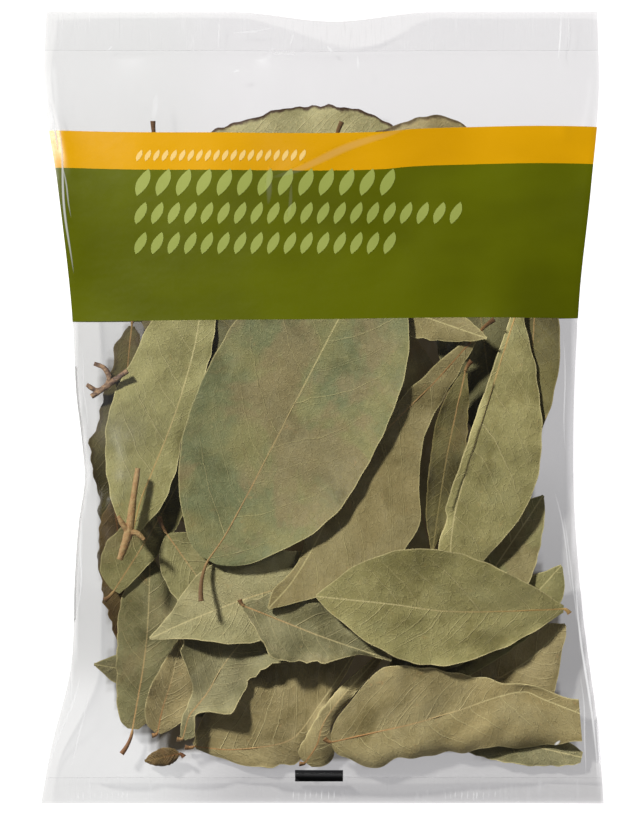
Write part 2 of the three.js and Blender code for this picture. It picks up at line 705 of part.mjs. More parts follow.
    right: [
      [62.1, -0.3], [55, -4.5], [48, -6], [40, -6.2], [30, -5.6], [22, -5], [16, -5.6], [10, -5],
      [5, -3.5], [0, -0.8],
    ],
    rib: [[62.1, 0], [47, -2], [35, -2.1], [25, -1.5], [15, -0.3], [8, 0.5], [0, 0.4]],
  },
  {
    base: [56, -46.5], tip: [-1.5, -43.5], arch: 1.2, fold: 5, curl: [4, 22], cup: 2, stalk: 1.5,
    left: [
      [57.6, 0.4], [55, 3], [50, 7], [45, 10.5], [40, 13], [35, 14.8], [30, 15.3], [25, 14.9],
      [20, 13.2], [15, 11], [10, 8.4], [5, 5], [2, 2.6], [0, 1.2],
    ],
    right: [
      [57.6, -0.3], [55, -2.6], [50, -6.8], [45, -9.6], [40, -11.4], [35, -12.3], [30, -12.2],
      [25, -11.6], [20, -10.2], [15, -8.2], [10, -6], [5, -3.4], [0, -0.6],
    ],
    rib: [[57.6, 0.1], [50, 0.5], [40, 1.1], [28, 2.1], [15, 1.6], [0, 0.3]],
  },
  {
    base: [-26, -35.5], tip: [13, 38.5], arch: 1.4, fold: 3, curl: [18, 4], cup: 4, stalk: 9, stalkBend: -3,
    left: [
      [83.6, 0.4], [78, 8], [70, 14.6], [60, 19], [50, 21.2], [40, 21.5], [30, 20.8], [20, 18.5],
      [15, 16.3], [10, 13.3], [5, 9.6], [1.5, 5.8], [0, 2.5],
    ],
    right: [
      [83.6, -0.4], [78, -8.5], [70, -15.5], [62, -19.4], [55, -21.2], [45, -22.3], [35, -22.4],
      [25, -21.6], [20, -20], [15, -17.5], [10, -14], [5, -9.8], [1.5, -5.5], [0, -2],
    ],
    rib: [[83.6, 0], [40, -0.3], [8, -0.4], [0, 0.5]],
  },
  { base: [-33.5, -80.8], tip: [-41.5, -82.6], width: 4.5, cup: -20, curl: [-30, -30], stalk: 1 },
];



// ---------- the leaves that lie out of sight under them ----------
const HIDDEN_COUNT = 8;
const HIDDEN_FIELD = { x: [-46, 46], y: [-62, 56] };
const FIELD_MARGIN = 7;
const GOLDEN_ANGLE = Math.PI * (3 - Math.sqrt(5));
// The plastic number's powers spread points evenly over an area, the golden ratio over a line.
const SPREAD = [0.7548776662, 0.5698402909, 0.6180339887];

function hiddenLeaf(k) {
  const [sx, sy, sl] = SPREAD.map((share) => (0.5 + (k + 1) * share) % 1);
  const length = lerp(50, 70, sl);
  const width = length * lerp(0.36, 0.44, sx);
  const heading = k * GOLDEN_ANGLE;
  const reachX = (length * Math.abs(Math.cos(heading)) + width * Math.abs(Math.sin(heading))) / 2;
  const reachY = (length * Math.abs(Math.sin(heading)) + width * Math.abs(Math.cos(heading))) / 2;
  const roomX = Math.max(0, HIDDEN_FIELD.x[1] + FIELD_MARGIN - reachX);
  const low = HIDDEN_FIELD.y[0] - FIELD_MARGIN + reachY;
  const high = HIDDEN_FIELD.y[1] + FIELD_MARGIN - reachY;
  const x = lerp(-roomX, roomX, sx);
  const y = lerp(low, high, sy);
  const dx = (Math.cos(heading) * length) / 2;
  const dy = (Math.sin(heading) * length) / 2;
  return {
    base: [x - dx, y - dy],
    tip: [x + dx, y + dy],
    width,
    arch: lerp(0.8, 2.2, sl),
    fold: 3,
    stalk: 4,
    hidden: true,
  };
}

// ---------- scraps of twig ----------
const TWIG_SIDES = 6;

// A round rod that swells and bends through stations [x, y, z, radius].
function rod(stations) {
  const rings = stations.map(([x, y, z, radius], i) => {
    const from = stations[Math.max(0, i - 1)];
    const to = stations[Math.min(stations.length - 1, i + 1)];
    const axis = new THREE.Vector3(to[0] - from[0], to[1] - from[1], to[2] - from[2]);
    const turn = new THREE.Quaternion().setFromUnitVectors(new THREE.Vector3(0, 0, 1), axis.normalize());
    return Array.from({ length: TWIG_SIDES }, (_, k) => {
      const a = (2 * Math.PI * k) / TWIG_SIDES;
      const p = new THREE.Vector3(radius * Math.cos(a), radius * Math.sin(a), 0);
      return p.applyQuaternion(turn).add(new THREE.Vector3(x, y, z)).toArray();
    });
  });
  const points = [...rings.flat(), stations[0].slice(0, 3), stations.at(-1).slice(0, 3)];
  const first = points.length - 2;
  const last = points.length - 1;
  const faces = [];
  for (let k = 0; k < TWIG_SIDES; k++) {
    const next = (k + 1) % TWIG_SIDES;
    faces.push(first, next, k);
    for (let i = 0; i + 1 < rings.length; i++) {
      const a = i * TWIG_SIDES;
      const b = a + TWIG_SIDES;
      faces.push(a + k, a + next, b + next, a + k, b + next, b + k);
    }
    const end = (rings.length - 1) * TWIG_SIDES;
    faces.push(last, end + k, end + next);
  }
  const geometry = new THREE.BufferGeometry();
  geometry.setAttribute("position", new THREE.Float32BufferAttribute(points.flat(), 3));
  geometry.setIndex(faces);
  return geometry;
}

const wasm = await Module();
wasm.setup();

function asManifold(geometry) {
  const merged = mergeVertices(geometry, 1e-4);
  return new wasm.Manifold(
    new wasm.Mesh({
      numProp: 3,
      vertProperties: merged.getAttribute("position").array,
      triVerts: new Uint32Array(merged.index.array),
    }),
  );
}

// Several rods that run into each other, joined into one solid.
function twig(branches) {
  const { vertProperties, triVerts } = branches
    .map((branch) => asManifold(rod(branch)))
    .reduce((a, b) => a.add(b))
    .getMesh();
  const geometry = new THREE.BufferGeometry();
  geometry.setAttribute("position", new THREE.Float32BufferAttribute(vertProperties, 3));
  geometry.setIndex([...triVerts]);
  return geometry;
}

const FORKED_TWIG = [
  [[-45.2, 8.5, 0.2, 0.6], [-48, 6.5, 0, 0.7], [-51, 4.3, 0.1, 0.75], [-53.6, 2.5, 0.2, 0.65]],
  [[-49.8, 5.2, 0, 0.7], [-49.5, 7.2, 0.3, 0.65], [-50.7, 9.2, 0.6, 0.6], [-53, 10.2, 0.8, 0.5]],
  [[-51.6, 3.9, 0, 0.7], [-53, 4.2, 0.3, 0.6], [-54.7, 5.3, 0.6, 0.5]],
];
const BUDDED_TWIG = [
  [[-42.6, -14, 0.4, 0.8], [-43.6, -21, 0.1, 0.9], [-44.6, -28.6, 0, 1.25], [-46.6, -35, 0.2, 0.85]],
  [[-44.6, -28.6, 0, 1], [-42.6, -29, 0.4, 0.8], [-41, -30.4, 0.6, 0.55]],
  [[-44.6, -28.6, 0, 1], [-46, -26.8, 0.5, 0.8], [-47, -25, 0.8, 0.5]],
];

// ---------- materials ----------
const filmMaterial = new THREE.MeshStandardMaterial({
  color: 0xdfe1e0,
  roughness: 0.12,
  metalness: 0,
  transparent: true,
  opacity: 0.3,
});
const leafMaterial = new THREE.MeshStandardMaterial({ color: 0x8d8a60, roughness: 0.78, metalness: 0 });
const twigMaterial = new THREE.MeshStandardMaterial({ color: 0x8a5f42, roughness: 0.85, metalness: 0 });

// ---------- assembly ----------
const packet = new THREE.Group();

function addPiece(name, geometry, material) {
  const mesh = new THREE.Mesh(geometry, material);
  mesh.name = name;
  packet.add(mesh);
}

const numbered = (stem, k) => `${stem}_${String(k + 1).padStart(2, "0")}`;

const pile = new Float64Array(MAP_SIDE * MAP_SIDE);
const leavesAlone = new Float64Array(MAP_SIDE * MAP_SIDE).fill(-Infinity);
const backGrid = panelGrid(backPanelHeight);
const backPanel = panelSolid(backGrid);
addPiece("film_back", backPanel, filmMaterial);
heap(pile, backPanel);

function addToPile(name, geometry, material) {
  lay(geometry, settle(pile, geometry));
  heap(pile, geometry);
  heap(leavesAlone, geometry);
  addPiece(name, geometry, material);
}

for (let k = 0; k < HIDDEN_COUNT; k++) {
  addToPile(numbered("leaf_under", k), leafSolid(completed(hiddenLeaf(k))), leafMaterial);
}
SHOWING_LEAVES.forEach((leaf, k) => {
  addToPile(numbered("leaf", k), leafSolid(completed(leaf)), leafMaterial);
});
addToPile("twig_forked", twig(FORKED_TWIG), twigMaterial);
addToPile("twig_budded", twig(BUDDED_TWIG), twigMaterial);

addPiece("film_front", panelSolid(frontPanelGrid(backGrid, leavesAlone)), filmMaterial);

export default packet;
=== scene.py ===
import math

import bmesh
import bpy
import numpy as np
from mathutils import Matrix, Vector
from mathutils.bvhtree import BVHTree


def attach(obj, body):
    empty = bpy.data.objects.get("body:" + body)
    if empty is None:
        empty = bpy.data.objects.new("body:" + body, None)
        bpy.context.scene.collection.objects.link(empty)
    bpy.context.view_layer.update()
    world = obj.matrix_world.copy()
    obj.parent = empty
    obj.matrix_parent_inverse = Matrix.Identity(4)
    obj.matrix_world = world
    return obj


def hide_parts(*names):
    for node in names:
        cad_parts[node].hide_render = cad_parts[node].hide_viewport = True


# A sealed packet of dried bay leaves, laid on its back and seen from straight above. Every length
# in this script is in millimetres until a mesh is made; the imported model's frame is in metres.
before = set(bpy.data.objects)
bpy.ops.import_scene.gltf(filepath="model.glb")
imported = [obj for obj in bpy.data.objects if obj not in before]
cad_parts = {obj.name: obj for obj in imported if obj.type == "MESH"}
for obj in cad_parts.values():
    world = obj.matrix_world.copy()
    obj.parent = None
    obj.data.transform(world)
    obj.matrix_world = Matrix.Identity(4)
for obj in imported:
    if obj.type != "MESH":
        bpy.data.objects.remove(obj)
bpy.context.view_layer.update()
MM = 0.001

# ---------- the packet's driving dimensions, as in the part's source ----------
PACK_LENGTH = 185
MIDDLE = PACK_LENGTH / 2
BOTTOM_SEAL = 6
TOP_SEAL = 9
FOLD_HEIGHT = 10.5
SEAL_HEIGHT = 1.2
SIDE_ROUNDING = 20
END_LIFT = 1.4
INFLATION = 0.0018
HEADER_WAVE = {"x": 2.5, "half_width": 24, "height": 7, "reach": 13, "set_back": 2.8}
LEFT_SIDE = [
    (92.5, -64.5),
    (74, -65),
    (52, -61.5),
    (24, -58.2),
    (4, -57.2),
    (-8, -55.8),
    (-17, -55.2),
    (-27, -56.6),
    (-42, -57.6),
    (-60, -58.4),
    (-80, -63.5),
    (-92.5, -65.7),
]
RIGHT_SIDE = [
    (92.5, 64.2),
    (74, 64.6),
    (52, 62.4),
    (24, 59.4),
    (-15, 58.2),
    (-48, 60.4),
    (-76, 64.4),
    (-92.5, 65.7),
]

# ---------- what only this script adds ----------
BLADE = 0.3  # a leaf blade's real thickness
MARGIN_BLADE = 0.2  # and at its margin
BLADE_PITCH = 0.75  # spacing of a blade's grid
FINE_HALVES = 13  # strips from midrib to margin
RIPPLE = 0.18
LIP_HEIGHT = 0.4
USUAL_WIDTH = 125  # of the packet, for the number of columns in a grid
SEAM_RISE = 0.7  # the middle of a seal lies this far over the back panel
LEAF_CLEARANCE = 0.25  # the film stays this far over the leaves
FILM_PITCH = 1.25
DOME_RADIUS = 22  # how tightly the film bends over a stalk's end
DOME_REACH = 4  # and how many steps of its grid the bend takes
INK = 0.05
MARK_LIFT = 3.2 * INK  # over the film, so clear of the band
GLINT_LIFT = 4.2 * INK  # the painted glint strips' height over the film, clear of the marks too


# ---------- small mathematics ----------
def lerp(a, b, t):
    return a + (b - a) * t


def smooth(q):
    t = np.clip(q, 0, 1)
    return t * t * (3 - 2 * t)


def along(stations, y):
    """A cubic through (y, value) stations that run from high y to low y."""
    ys = np.array([s[0] for s in stations], float)
    values = np.array([s[1] for s in stations], float)
    last = len(ys) - 1
    before = np.maximum(np.arange(last + 1) - 1, 0)
    after = np.minimum(np.arange(last + 1) + 1, last)
    slopes = (values[after] - values[before]) / (ys[after] - ys[before])
    y = np.asarray(y, float)
    k = np.clip(np.searchsorted(-ys, -y, side="left") - 1, 0, last - 1)
    span = ys[k + 1] - ys[k]
    t = np.clip((y - ys[k]) / span, 0, 1)
    bend = t * (1 - t) * span * ((1 - t) * slopes[k] - t * slopes[k + 1])
    return lerp(values[k], values[k + 1], smooth(t)) + bend


def left_side(y):
    return along(LEFT_SIDE, y)


def right_side(y):
    return along(RIGHT_SIDE, y)


def undulation(seed, count, lowest, highest):
    """A function of one number between about -1 and 1, made of a few seeded sine waves."""
    rng = np.random.default_rng(seed)
    pace = rng.uniform(lowest, highest, count)
    start = rng.uniform(0, 2 * math.pi, count)
    return lambda t: sum(np.sin(p * t + s) for p, s in zip(pace, start)) / math.sqrt(count)


def crinkle(seed, size, count=7):
    """The same over a plane: gentle dents about `size` across."""
    rng = np.random.default_rng(seed)
    turn = rng.uniform(0, 2 * math.pi, count)
    pace = rng.uniform(0.7, 1.4, count) * 2 * math.pi / size
    start = rng.uniform(0, 2 * math.pi, count)

    def height(x, y):
        total = 0
        for a, p, s in zip(turn, pace, start):
            total = total + np.sin(p * (x * math.cos(a) + y * math.sin(a)) + s)
        return total / math.sqrt(count)

    return height


# ---------- meshes from grids of points ----------
def mesh_object(name, points, faces, sharp=None):
    mesh = bpy.data.meshes.new(name)
    mesh.from_pydata((np.asarray(points) * MM).tolist(), [], faces)
    mesh.update()
    mesh.polygons.foreach_set("use_smooth", [True] * len(mesh.polygons))
    if sharp:
        mesh.set_sharp_from_angle(angle=math.radians(sharp))
    piece = bpy.data.objects.new(name, mesh)
    bpy.context.scene.collection.objects.link(piece)
    return piece


def grid_quads(rows, columns, first=0, closed=False, flipped=False):
    """Quads of a rows x columns grid of points; the columns join up again where it is closed."""
    i, j = np.meshgrid(np.arange(rows - 1), np.arange(columns - (not closed)), indexing="ij")
    nearer = first + i * columns
    further = nearer + columns
    following = (j + 1) % columns
    corners = [nearer + j, further + j, further + following, nearer + following]
    quads = np.stack(corners, -1).reshape(-1, 4)
    return (quads[:, ::-1] if flipped else quads).tolist()


def rim_quads(edge_a, edge_b, flipped=False):
    """Quads between two rows of vertex numbers of the same length."""
    quads = np.stack([edge_a[:-1], edge_a[1:], edge_b[1:], edge_b[:-1]], -1)
    return (quads[:, ::-1] if flipped else quads).tolist()


def slab(upper, lower):
    """Points and faces of the closed solid between two grids. Rows run along +X, columns along +Y."""
    rows, columns = upper.shape[:2]
    points = np.concatenate([upper.reshape(-1, 3), lower.reshape(-1, 3)])
    number = np.arange(2 * rows * columns).reshape(2, rows, columns)
    top, bottom = number
    faces = grid_quads(rows, columns)
    faces += grid_quads(rows, columns, first=rows * columns, flipped=True)
    faces += rim_quads(bottom[:, 0], top[:, 0])
    faces += rim_quads(top[:, -1], bottom[:, -1])
    faces += rim_quads(top[0], bottom[0])
    faces += rim_quads(bottom[-1], top[-1])
    return points, faces


def grid_normals(grid, closed=False):
    """Unit normals of a grid whose rows run along +X and columns along +Y, or round a loop."""
    lengthways = np.gradient(grid, axis=0)
    if closed:
        sideways = np.roll(grid, -1, axis=1) - np.roll(grid, 1, axis=1)
    else:
        sideways = np.gradient(grid, axis=1)
    normal = np.cross(lengthways, sideways)
    size = np.linalg.norm(normal, axis=-1, keepdims=True)
    return normal / np.maximum(size, 1e-9)


def tube(path, radii, sides):
    """Points and faces of a closed round rod along a path."""
    path = np.asarray(path, float)
    ahead = np.gradient(path, axis=0)
    ahead /= np.linalg.norm(ahead, axis=1, keepdims=True)
    side = np.cross(ahead, (0, 0, 1.0))
    short = np.linalg.norm(side, axis=1) < 0.2
    side[short] = np.cross(ahead[short], (0, 1.0, 0))
    side /= np.linalg.norm(side, axis=1, keepdims=True)
    up = np.cross(side, ahead)
    angle = 2 * math.pi * np.arange(sides) / sides
    round_side = side[:, None] * np.cos(angle)[None, :, None]
    round_up = up[:, None] * np.sin(angle)[None, :, None]
    rings = path[:, None] + (round_side + round_up) * np.asarray(radii)[:, None, None]
    points = np.concatenate([rings.reshape(-1, 3), path[:1], path[-1:]])
    count = len(path)
    first, last = count * sides, count * sides + 1
    faces = grid_quads(count, sides, closed=True, flipped=True)
    for k in range(sides):
        following = (k + 1) % sides
        end = (count - 1) * sides
        faces.append((first, following, k))
        faces.append((last, end + k, end + following))
    return points, faces


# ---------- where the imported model's pieces lie ----------
def tree_of(node):
    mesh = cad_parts[node].data
    corners = [v.co / MM for v in mesh.vertices]
    return BVHTree.FromPolygons(corners, [tuple(p.vertices) for p in mesh.polygons])


def surface_height(tree, x, y, down=True):
    start = Vector((x, y, 200 if down else -200))
    hit = tree.ray_cast(start, Vector((0, 0, -1 if down else 1)))
    return hit[0].z if hit[0] else None


def lie_terms(dx, dy):
    return np.stack([np.ones_like(dx), dx, dy, dx * dx, dx * dy, dy * dy], -1)


def lie_of(node, places):
    """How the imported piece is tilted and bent, found from where its middle surface lies.

    places are rows of (x, y, height before it was laid). Returns a function of x and y.
    """
    tree = tree_of(node)
    centre = places[:, :2].mean(0)
    known = []
    for x, y, z in places:
        top = surface_height(tree, x, y)
        bottom = surface_height(tree, x, y, down=False)
        if top is not None and bottom is not None:
            known.append((x - centre[0], y - centre[1], (top + bottom) / 2 - z))
    known = np.array(known)
    terms = lie_terms(known[:, 0], known[:, 1])
    ridge = np.diag([0, 0, 0, 1e-3, 1e-3, 1e-3]) * len(known)
    fitted = np.linalg.solve(terms.T @ terms + ridge, terms.T @ known[:, 2])
    return lambda x, y: lie_terms(x - centre[0], y - centre[1]) @ fitted


# ---------- leaves ----------
TIP_HALF = 0.35
STALK_RADIUS = 0.75
BASE_POWER = 0.6  # 0.5 rounds a blade's end, 1 makes it pointed
TIP_POWER = 0.82

# What a leaf's tone is multiplied by, judged leaf by leaf.
SHADES = {
    "dark": (0.64, 0.62, 0.54),
    "dim": (0.8, 0.79, 0.72),
    "soft": (0.91, 0.91, 0.85),
    "plain": (1, 1, 1),
    "light": (1.2, 1.17, 1.18),
    "bright": (1.42, 1.4, 1.42),
}

PLAIN_LEAF = {
    "arch": 1,
    "fold": 4,
    "cup": -8,
    "curl": (0, 0),
    "twist": 0,
    "bow": 0,
    "wave": 0.6,
    "waves": 5,
    "stalk": 6,
    "stalk_bend": 1,
    "ragged": 0.13,  # how far its edge wanders, mm
    "crumple": 1,  # how dented it is
    "rim": 0,  # how dark its edge has dried
    "lip": None,  # a strip folded over at the right edge: its width and where it starts and ends
    "tone": "olive",
    "shade": "plain",  # and how light that tone is on this leaf
}

# The leaves that show, lowest first, as in the part's source, with the tone of each. Where a
# blade isn't a plain oval, left and right are its edges and rib its midrib: stations (mm along,
# mm to the left of the line from base to tip), from tip to base.
SHOWING_LEAVES = [
    {"base": (-29.5, 60), "tip": (17.5, 64.5), "cup": -14, "wave": 1, "tone": "pale", "rim": 1,
     "ragged": 0.25, "shade": "light",
     "left": [
         (47.2, 0.3), (45.8, 2), (38.3, 6.1), (30.5, 7.7), (21.8, 7.9), (14.7, 6.6), (2.8, 3.8),
         (0, 0.6),
     ],
     "right": [(47.2, -0.3), (38, -7), (24, -10), (10, -7), (0, -0.6)],
     "rib": [(47.2, 0), (0, 0)]},
    {"base": (-4, 52), "tip": (36, 63.5), "cup": -12, "wave": 0.9, "tone": "tan", "rim": 0.8,
     "ragged": 0.3, "shade": "light",
     "left": [
         (41.6, 0.3), (39.7, 2.9), (37.7, 5.1), (34.6, 7), (30, 7.8), (24.3, 7.6), (14, 6.5), (5, 3.5),
         (0, 0.6),
     ],
     "right": [(41.6, -0.3), (34, -6), (20, -9), (8, -5), (0, -0.6)],
     "rib": [(41.6, 0), (0, 0)]},
    {"base": (34, 46), "tip": (41, -12), "width": 23, "cup": -10, "tone": "shaded", "shade": "dim"},
    {"base": (-38.5, 60), "tip": (-20.5, 0), "width": 22, "arch": 1.4, "stalk": 6.8,
     "tone": "shaded", "shade": "dim"},
    {"base": (2.5, 60), "tip": (-7.5, -4), "width": 25, "arch": 1.6, "stalk": 6.8, "fold": -4,
     "cup": 10, "tone": "olive", "shade": "soft"},
    {"base": (-44.5, 19), "tip": (-49.5, -34), "curl": (-6, 16), "cup": 6, "tone": "dark",
     "ragged": 0.3, "rim": 0.5, "shade": "dark",
     "left": [(53.2, 0.3), (44, 4), (30, 6.2), (14, 5.6), (4, 3), (0, 0.6)],
     "right": [
         (53.2, -0.3), (46, -2.8), (40, -3.9), (35.4, -5.2), (31, -6.6), (26.6, -6.7), (24, -5.7),
         (15.4, -4.6), (9, -3.2), (6, -3.7), (2, -2), (0, -0.6),
     ],
     "rib": [(53.2, 0), (0, 0)]},
    {"base": (-48.5, -21.5), "tip": (-43.5, -62), "width": 11, "curl": (10, -20), "cup": -8,
     "tone": "brown", "ragged": 0.3, "shade": "dark"},
    {"base": (-8, -68), "tip": (-53.2, -59.8), "width": 16, "tone": "grey", "shade": "dim"},
    {"base": (50, 30), "tip": (47, -12), "width": 13, "twist": 12, "stalk": 4, "tone": "dark",
     "shade": "soft"},
    {"base": (22, -73), "tip": (60.5, -82), "stalk": 3, "tone": "grey", "shade": "light",
     "left": [(39.5, 1.6), (36, 3), (28, 4.5), (18, 5), (8, 4), (0, 0.6)],
     "right": [(39.5, -1), (37.5, -2.1), (32, -3.6), (26.7, -4.6), (18, -5), (8, -4), (0, -0.6)],
     "rib": [(39.5, 0.3), (0, 0)]},
    {"base": (23, -74), "tip": (56.5, -50.5), "tone": "tan", "shade": "light",
     "left": [(40.9, 0.3), (36, 3.4), (28, 6), (18, 7), (8, 5), (0, 0.6)],
     "right": [
         (40.9, -0.4), (39.5, -2.4), (36.9, -4.6), (33, -8.7), (28.6, -12.3), (24, -11), (18, -8.4),
         (10, -6.4), (4, -4), (0, -0.6),
     ],
     "rib": [(40.9, 0), (30, -2), (15, -1), (0, 0)]},
    {"base": (14, -66), "tip": (55.6, -36.8), "wave": 1, "tone": "olive", "crumple": 2,
     "shade": "soft",
     "left": [(50.8, 0.3), (42.3, 2.4), (30, 7), (18, 9), (8, 6), (0, 0.6)],
     "right": [(50.8, -0.5), (48.5, -4.6), (45.8, -6.8), (38, -9), (20, -9), (8, -6), (0, -0.6)],
     "rib": [(50.8, 0), (40, -2), (20, -0.5), (0, 0)]},
    {"base": (24, -61), "tip": (51.5, -20.5), "width": 19, "twist": 10, "tone": "olive",
     "crumple": 1.5},
    {"base": (-44, -75), "tip": (-40, -34), "cup": -12, "stalk": 6, "stalk_bend": 2,
     "tone": "shaded", "crumple": 1.4, "shade": "bright",
     "left": [(41.2, 0.3), (34, 4.5), (28, 6), (20, 5.8), (10, 5), (2, 3.6), (0, 1.4)],
     "right": [(41.2, -0.3), (30, -8), (20, -10), (10, -8), (4, -5), (0, -1)],
     "rib": [(41.2, 0), (20, -1), (0, 0.3)]},
    {"base": (-38, -76), "tip": (-29, -50), "cup": 12, "stalk": 1, "tone": "tan", "crumple": 1.4,
     "shade": "light",
     "left": [(27.5, 0.8), (22, 3), (14, 5), (8, 5.6), (4, 5), (1, 3.4), (0, 1.2)],
     "right": [(27.5, 0), (21, 0.8), (17, -1.6), (13, -4.4), (9, -6), (4, -4), (0, -0.5)],
     "rib": [(27.5, 0.4), (20, 2), (13, 1.4), (6, 1.2), (0, 0.5)]},
    {"base": (-47.5, -43), "tip": (-24, 1), "cup": 8, "stalk": 3, "tone": "olive", "shade": "dim",
     "left": [
         (49.9, 0.3), (38, 2), (25, 3.6), (17, 4.8), (13, 6.8), (8, 7.9), (3, 6.3), (1, 4), (0, 2),
     ],
     "right": [(49.9, -0.3), (38, -3), (25, -5), (12, -4), (5, -2.2), (0, -0.5)],
     "rib": [(49.9, 0), (20, -0.3), (0, 1)]},
    {"base": (-30, -79), "tip": (8.5, -55.5), "cup": -10, "wave": 1.2, "stalk": 2, "tone": "tan",
     "crumple": 1.6, "ragged": 0.25, "shade": "light",
     "left": [(45.1, 0.3), (38, 4.5), (30, 8.5), (20, 9.5), (10, 7), (4, 3.8), (0, 0.6)],
     "right": [
         (45.1, -0.5), (38, -4.6), (30, -8.4), (25, -11), (21, -14.5), (19, -16), (14, -14.2),
         (8, -10.5), (4, -6), (0, -1),
     ],
     "rib": [(45.1, 0), (38, -3.4), (30, -7), (21.4, -10.4), (16, -9.5), (6.7, -5.2), (0, -0.2)]},
    {"base": (-32.5, -77), "tip": (-7, -44), "curl": (30, 6), "wave": 1.6, "stalk": 1, "cup": 4,
     "tone": "grey", "crumple": 2, "ragged": 0.3, "shade": "light",
     "left": [
         (41.7, 0.3), (33, 10), (25, 14.5), (17, 13.5), (14, 10), (11, 5.6), (9, 4.4), (5, 3.6),
         (0, 1),
     ],
     "right": [
         (41.7, -0.3), (35, -6.5), (29, -8.2), (25, -5.6), (20, -4.6), (15, -5.4), (12, -6),
         (10, -3.4), (8, -0.4), (6, 0.8), (4, -0.6), (2, -2), (0, -1),
     ],
     "rib": [(41.7, 0), (30, 2.5), (20, 3), (12, 2), (8, 2), (5, 2), (0, 0)]},
    {"base": (-4, -82.8), "tip": (15, -56), "fold": -6, "cup": -20, "stalk": 1, "tone": "tan",
     "crumple": 1.4, "shade": "bright",
     "left": [
         (32.9, 0.3), (28, 1.6), (20.6, 3.3), (15.6, 4), (9.1, 4), (4.8, 3.5), (1.1, 3), (0, 1),
     ],
     "right": [
         (32.9, -0.3), (28, -0.8), (20, -0.2), (15, 0.3), (12, 0.2), (9.5, -0.4), (8, -3), (4, -5),
         (1.5, -4), (0, -2),
     ],
     "rib": [(32.9, 0), (20.6, 1.6), (15.6, 2.1), (9.5, 1.8), (5, 0.2), (0, 0)]},
    {"base": (2, -76.5), "tip": (60, -71.8), "curl": (-40, 0), "cup": -6, "wave": 1.2,
     "stalk": 1.5, "tone": "tan", "crumple": 1.8, "ragged": 0.3, "shade": "bright",
     "left": [
         (58.2, 3.6), (55, 4.8), (52, 6.2), (49, 7.4), (46, 8.4), (40, 9.6), (35, 11), (30, 12.5),
         (25, 13.8), (20, 15), (15, 15.4), (12, 14.3), (8, 11), (3, 5.5), (1, 3), (0, 0.5),
     ],
     "right": [
         (58.2, -6.2), (50, -6.9), (45, -7.2), (38, -6.4), (30, -6.8), (20, -7), (15, -7.2),
         (11, -8.4), (7, -8), (3, -5.8), (1, -4.4), (0, -2.4),
     ],
     "rib": [(58.2, 0.5), (50, 4.5), (46, 6.6), (40, 6.1), (30, 3.6), (20, 1.5), (10, 0), (0, -1.4)]},
    {"base": (-36, -29.5), "tip": (-20, -52), "width": 14, "stalk": 4.5, "tone": "olive"},
    {"base": (8, -37), "tip": (-40, -53.5), "curl": (0, 16), "cup": -4, "stalk": 3,
     "tone": "pale", "crumple": 1.5, "shade": "light",
     "left": [
         (50.8, 0.3), (47, 1.5), (42, 3.2), (38, 5.2), (33, 7.6), (27, 9), (20, 9), (10, 6), (0, 0.6),
     ],
     "right": [
         (50.8, -0.3), (45, -3.6), (41, -6.7), (38, -9), (33, -11.3), (28, -12), (20, -11), (10, -7),
         (0, -0.6),
     ],
     "rib": [(50.8, 0), (40, -1), (25, -1.4), (0, 0)]},
    {"base": (-18, -46), "tip": (16, -58.5), "curl": (34, 0), "wave": 1.2, "stalk": 1.6,
     "tone": "grey", "crumple": 2, "ragged": 0.3, "shade": "light",
     "left": [(36.2, 0.3), (28, 4), (22, 6), (16, 7), (10, 7), (5, 5), (0, 1)],
     "right": [
         (36.2, -0.4), (29, -1.4), (26, -3.3), (22, -6), (16, -8), (12, -9.3), (9, -8.5), (5, -5),
         (0, -1),
     ],
     "rib": [(36.2, 0), (20, -0.5), (0, 0)]},
    {"base": (36, 17), "tip": (-12.5, -46.5), "arch": 1.8, "curl": (0, 16), "cup": -8, "stalk": 5,
     "tone": "tan", "crumple": 1.6, "shade": "dim",
     "left": [
         (79.9, 0.3), (74, 5), (66, 11), (58, 15.5), (50, 17), (42, 15.5), (36, 10.5), (30, 6.5),
         (25, 4.3), (18, 2.9), (8, 1.8), (0, 0.6),
     ],
     "right": [
         (79.9, -0.3), (76, -1.8), (72, -1.2), (67, -1.2), (62, -3), (56, -7.5), (50, -11.4),
         (42, -12), (33, -8), (27, -5.8), (20, -4.8), (10, -3.2), (0, -0.6),
     ],
     "rib": [
         (79.9, 0), (72, 0.6), (62, -0.4), (50, -3), (42, -3.8), (33, -3.6), (25, -2.6), (15, -1.2),
         (0, 0),
     ]},
    {"base": (-2, 30), "tip": (38, 16), "width": 12, "cup": -20, "stalk": 4, "tone": "tan",
     "shade": "soft"},
    {"base": (33, 8), "tip": (25.5, -33), "curl": (24, 12), "stalk": 3, "tone": "dark",
     "shade": "soft",
     "left": [(41.7, 0.3), (32, 2.5), (20, 3.4), (8, 2.4), (0, 0.6)],
     "right": [(41.7, -0.4), (36, -2.5), (30, -3.6), (20, -4.4), (12, -4.5), (5, -3), (0, -0.8)],
     "rib": [(41.7, 0), (20, -0.6), (0, 0)]},
    {"base": (46, 25), "tip": (30, -42), "fold": -4, "cup": -6, "stalk": 3, "tone": "yellow",
     "lip": (1.7, 20, 51.5), "shade": "light",
     "left": [
         (68.9, 0.3), (66, 2.5), (60, 6.2), (55, 9), (50, 11.4), (45, 13), (40, 13.5), (35, 13.3),
         (30, 12.4), (25, 11), (20, 9.3), (15, 7.3), (10, 4.9), (5, 2.4), (0, 0.6),
     ],
     "right": [
         (68.9, -0.3), (64, -4.2), (60, -5.4), (53, -5), (51, -5.9), (40, -4.9), (30, -4), (20, -3),
         (5, -1.4), (0, -0.6),
     ],
     "rib": [
         (68.9, 0), (60, -2.5), (50, -3.5), (40, -3), (30, -2.3), (20, -1.6), (10, -0.8), (0, 0),
     ]},
    {"base": (-43.5, -29), "tip": (-27.5, 31), "curl": (8, -4), "stalk": 1.5, "tone": "yellow",
     "left": [
